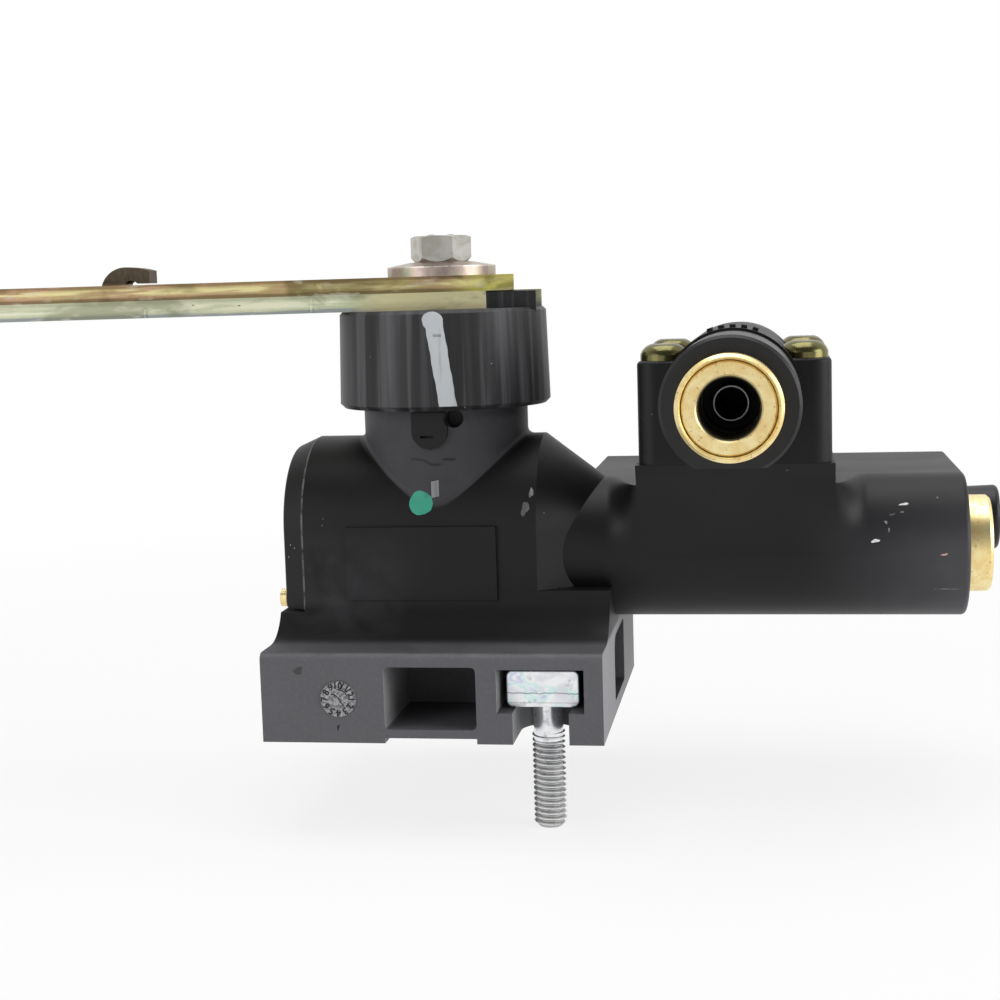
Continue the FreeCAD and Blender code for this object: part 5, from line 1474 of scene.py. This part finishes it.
@dataclass
class Lever(Assembly):
    """The turning hub, the straps of the lever and what fastens them."""

    turn: float
    hub_low: float = 58.9 * MM
    hub_high: float = 75.6 * MM
    hub_low_radius: float = 20.05 * MM
    hub_high_radius: float = 19.6 * MM
    half_width: float = 9.0 * MM
    ridge: float = 0.5 * MM
    ridges: Tuple[Tuple[str, float, float], ...] = (
        ("left_ridge", -54.8 * MM, 0.55), ("right_ridge", -24.0 * MM, 0.95))
    stripe_top: float = 74.9 * MM
    stripe_foot: float = 58.95 * MM
    stripe_half: float = 0.083
    stripe_thick: float = 0.06 * MM

    def build(self) -> None:
        """Builds and dresses everything that turns."""
        self.dress(HUB, "lever_hub")
        bottom, joint = (corner.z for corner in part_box("lever_lower_plate"))
        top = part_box("cone_washer")[0].z
        upper = StrapZinc(
            "yellow_zinc_upper", low=joint, high=top, turn=self.turn, end_from=4 * MM,
            stops=((0.0, paint(122, 102, 66)), (0.36, paint(164, 142, 94)), (0.45, paint(196, 160, 128)),
                   (0.52, paint(174, 160, 104)), (0.64, paint(212, 194, 138)), (1.0, paint(228, 216, 184))),
            streak=paint(238, 226, 166), rim=paint(126, 100, 74), foot=paint(88, 76, 50),
            rim_share=0.6, foot_share=0.65, end_tint=paint(214, 212, 104), tab_from=top + 0.3 * MM)
        lower = StrapZinc(
            "yellow_zinc_lower", low=bottom, high=joint, turn=self.turn, end_from=-14 * MM, shine=0.3,
            stops=((0.0, paint(142, 144, 120)), (0.36, paint(176, 180, 150)), (0.48, paint(206, 208, 178)),
                   (0.58, paint(180, 190, 158)), (0.7, paint(212, 206, 168)), (1.0, paint(226, 224, 210))),
            streak=paint(230, 230, 202), rim=paint(150, 152, 128), foot=paint(128, 134, 148),
            rim_share=0.35, foot_share=0.75, end_tint=paint(226, 216, 166), stain=paint(128, 132, 104))
        self.dress(upper, "lever_upper_plate")
        self.dress(lower, "lever_lower_plate")
        self.dress(WASHER_ZINC, "cone_washer")
        self.dress(NUT_ZINC, "lever_nut", "lever_clamp_nut", "lever_clamp_bolt")
        self.dress(STEEL, "control_shaft")
        self.add_stripe()
        self.add_ridges(lower, bottom, joint)

    def hub(self) -> Wall:
        """The hub's wall."""
        return upright_drum(self.hub_low_radius, self.hub_high_radius, self.hub_low, self.hub_high)

    def add_stripe(self) -> None:
        """The brushed stripe of marking paint down the hub, with the blob where the brush was set down."""
        bm = bmesh.new()
        bmesh.ops.create_grid(bm, x_segments=10, y_segments=40, size=1.0)
        for vert in bm.verts:
            side, share = vert.co.x, (1 - vert.co.y) / 2
            middle = 0.094 + 0.106 * share + 0.008 * share * share
            edge = 1 + 0.03 * math.sin(17 * share + 2 * side) + 0.02 * math.sin(41 * share)
            angle = middle + side * (self.stripe_half - 0.004 * share) * edge
            height = self.stripe_top + (self.stripe_foot - self.stripe_top) * share
            vert.co = self.hub().on(angle, height, self.stripe_thick * (1.15 - side ** 4))
        close_behind(bm, self.stripe_thick)
        finish_piece("paint_stripe", bm, WHITE_PAINT, "lever")
        blob = daub(self.hub(), 0.086, 74.35 * MM, 0.096, 1.7 * MM, 0.11 * MM, 0.05, 0.4)
        finish_piece("paint_blob", blob, WHITE_PAINT, "lever")
        hollow = [(0.088, 71.7 * MM), (0.164, 71.7 * MM)]
        gap = strip(self.hub(), hollow, 0.25 * MM, 0.09 * MM, taper=False)
        finish_piece("paint_gap", gap, THIN_PAINT, "lever")

    def add_ridges(self, finish: Finish, bottom: float, joint: float) -> None:
        """The bright upright ridges that the shear left on the lower strap's front edge.

        Args:
            finish: the strap's finish.
            bottom: the strap's underside.
            joint: its top.
        """
        height = joint - bottom
        for name, place, share in self.ridges:
            bm = bar(Vector((self.ridge, self.ridge, height * share)), self.ridge * 0.3)
            middle = Vector((place, -self.half_width, bottom + height * share / 2))
            bmesh.ops.translate(bm, verts=bm.verts, vec=middle)
            bmesh.ops.rotate(bm, verts=bm.verts, cent=(0, 0, 0), matrix=Matrix.Rotation(self.turn, 3, "Z"))
            finish_piece(name, bm, finish, "lever")


@dataclass
class TubePorts(Assembly):
    """The manifold block and the four tube fittings."""

    tube_bore: float = 5.05 * MM

    def build(self) -> None:
        """Dresses the block, its screws and the fittings."""
        self.dress(BLOCK, "manifold_block")
        self.dress(SCREW_ZINC, "manifold_screws")
        self.dress(SLEEVE, "front_port_sleeve", "rear_port_sleeve")
        self.dress(SLEEVE, "dump_port_collet", "dump_port_retainer")
        for name, along in (("front_port", "Y"), ("rear_port", "Y"), ("supply_port", "X")):
            low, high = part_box(name + "_retainer")
            centre = tuple((low + high) / 2)
            self.dress(TurnedBrass("brass_" + name, centre=centre, along=along), name + "_retainer")
            self.dress(TurnedBrass("collet_" + name, centre=centre, along=along, bore=self.tube_bore),
                       name + "_collet")
            self.dress(MouthSteel("support_" + name, centre=centre, along=along), name + "_tube_support")
        self.dress(STEEL, "dump_port_tube_support")
        for name in ("front_port", "rear_port", "supply_port", "dump_port"):
            self.dress(STEEL, name + "_grab_ring")
            self.dress(RUBBER, name + "_tube_seal")
        self.dress(RUBBER, "front_port_sleeve_seal", "rear_port_sleeve_seal")


@dataclass
class MountingBolt(Assembly):
    """The T-bolt, with its pressed head and rolled thread."""

    node: str = "t_bolt_front"
    head_height: float = 6.6 * MM
    head_edge: float = 1.1 * MM
    face_edge: float = 0.25 * MM
    shank_radius: float = 2.7 * MM
    crest_radius: float = 3.0 * MM
    root_radius: float = 2.42 * MM
    pitch: float = 1.0 * MM
    thread_top: float = -0.5 * MM
    tip_slope: float = 0.9 * MM
    steps: int = 28
    shank_sides: int = 48
    flank: Tuple[float, float, float, float] = (0.125, 0.44, 0.56, 0.875)

    def build(self) -> None:
        """Builds the head with its shank, and the thread, in place of the plain node."""
        low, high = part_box(self.node)
        centre = (low + high) / 2
        axis = Vector((centre.x, centre.y, 0))
        pressed, plain = PressedZinc("zinc_head", rainbow=0.5), BrightZinc("zinc_shank", shine=0.14)
        rolled = ThreadZinc("zinc_thread", centre=tuple(axis), root=self.root_radius, crest=self.crest_radius)
        head = finish_piece(self.node + "_head", self.head(axis, high), pressed, self.node,
                            smooth=False)
        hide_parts(self.node)
        finish_piece(self.node + "_shank", self.shank(axis, high.z), plain, self.node)
        finish_piece(self.node + "_thread", self.thread(axis, low.z), rolled, self.node)

    def head(self, axis: Vector, high: Vector) -> bmesh.types.BMesh:
        """The head: a block, well rounded along its two long upper and lower sides.

        Args:
            axis: a point on the bolt's axis.
            high: the bolt's highest corner.

        Returns:
            The head.
        """
        side = 2 * (high.x - axis.x)
        bm = bmesh.new()
        bmesh.ops.create_cube(bm, size=1.0)
        bmesh.ops.scale(bm, verts=bm.verts, vec=(side, side, self.head_height))
        for edge_size, long_sides, segments in ((self.head_edge, True, 6), (self.face_edge, False, 3)):
            edges = [edge for edge in bm.edges
                     if (abs(edge.verts[0].co.y - edge.verts[1].co.y) > side / 2) == long_sides
                     and (long_sides or edge.calc_face_angle(0) > 1.0)]
            bmesh.ops.bevel(bm, geom=edges, offset=edge_size, segments=segments, profile=0.5,
                            affect="EDGES", material=-1)
        bmesh.ops.translate(bm, verts=bm.verts, vec=axis + Vector((0, 0, high.z - self.head_height / 2)))
        return bm

    def shank(self, axis: Vector, top: float) -> bmesh.types.BMesh:
        """The plain shank between head and thread.

        Args:
            axis: a point on the bolt's axis.
            top: height of the head's top.

        Returns:
            The shank.
        """
        bm = bmesh.new()
        head_in = top - self.head_height + self.face_edge
        foot = self.thread_top - self.pitch
        bmesh.ops.create_cone(bm, cap_ends=True, segments=self.shank_sides, radius1=self.shank_radius,
                              radius2=self.shank_radius, depth=head_in - foot)
        bmesh.ops.translate(bm, verts=bm.verts, vec=axis + Vector((0, 0, (head_in + foot) / 2)))
        return bm

    def thread(self, axis: Vector, tip: float) -> bmesh.types.BMesh:
        """A rolled thread, cut off flat above and narrowed at its tip.

        Args:
            axis: a point on the bolt's axis.
            tip: height of the tip.

        Returns:
            The thread.
        """
        bm = bmesh.new()
        top = self.thread_top + 2 * self.pitch
        rise, crest, fall, root = self.flank
        shape = [(self.root_radius, 0.0), (self.root_radius, rise), (self.crest_radius, crest),
                 (self.crest_radius, fall), (self.root_radius, root), (self.root_radius, 1.0)]
        verts = [bm.verts.new((radius, 0, top - share * self.pitch)) for radius, share in shape]
        edges = [bm.edges.new(pair) for pair in zip(verts, verts[1:])]
        turns = math.ceil((top - tip) / self.pitch) + 1
        bmesh.ops.spin(bm, geom=verts + edges, cent=(0, 0, 0), axis=(0, 0, 1), angle=FULL_TURN * turns,
                       dvec=(0, 0, -self.pitch / self.steps), steps=self.steps * turns, use_duplicate=False)
        bmesh.ops.remove_doubles(bm, verts=bm.verts, dist=1e-6)
        for height, way in ((self.thread_top + 0.5 * self.pitch, 1), (tip, -1)):
            cut = bmesh.ops.bisect_plane(bm, geom=bm.verts[:] + bm.edges[:] + bm.faces[:], dist=1e-7,
                                         plane_co=(0, 0, height), plane_no=(0, 0, way), clear_outer=True)
            rim = [item for item in cut["geom_cut"] if isinstance(item, bmesh.types.BMEdge)]
            bmesh.ops.contextual_create(bm, geom=rim)
        for vert in bm.verts:
            rise = vert.co.z - tip
            limit = self.crest_radius - max(self.tip_slope - rise, 0.0)
            reach = vert.co.xy.length
            if reach > limit:
                vert.co.xy *= limit / reach
        bmesh.ops.translate(bm, verts=bm.verts, vec=axis)
        return bm


def lever_turn(record: dict) -> float:
    """The lever's angle at rest, from where the record puts the linkage hole.

    Args:
        record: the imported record.

    Returns:
        The angle in radians, from the lever's straight line to the left.
    """
    hole = next(mount["pos_m"] for mount in record["mounts"] if mount["name"] == "linkage_hole")
    return math.atan2(-hole[1], -hole[0])


def main() -> None:
    """Loads the frame, and builds each sub-assembly and the studio."""
    logging.basicConfig(level=logging.INFO, format="%(message)s")
    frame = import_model()
    frame_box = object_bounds()
    nodes = frame["nodes"]
    turn = lever_turn(frame["record"])
    for assembly in (Housing(nodes), Lever(nodes, turn), TubePorts(nodes), MountingBolt(nodes)):
        LOG.info("%s", type(assembly).__name__)
        assembly.build()
    Studio().build(frame_box[0].z)


if __name__ == "__main__":
    main()
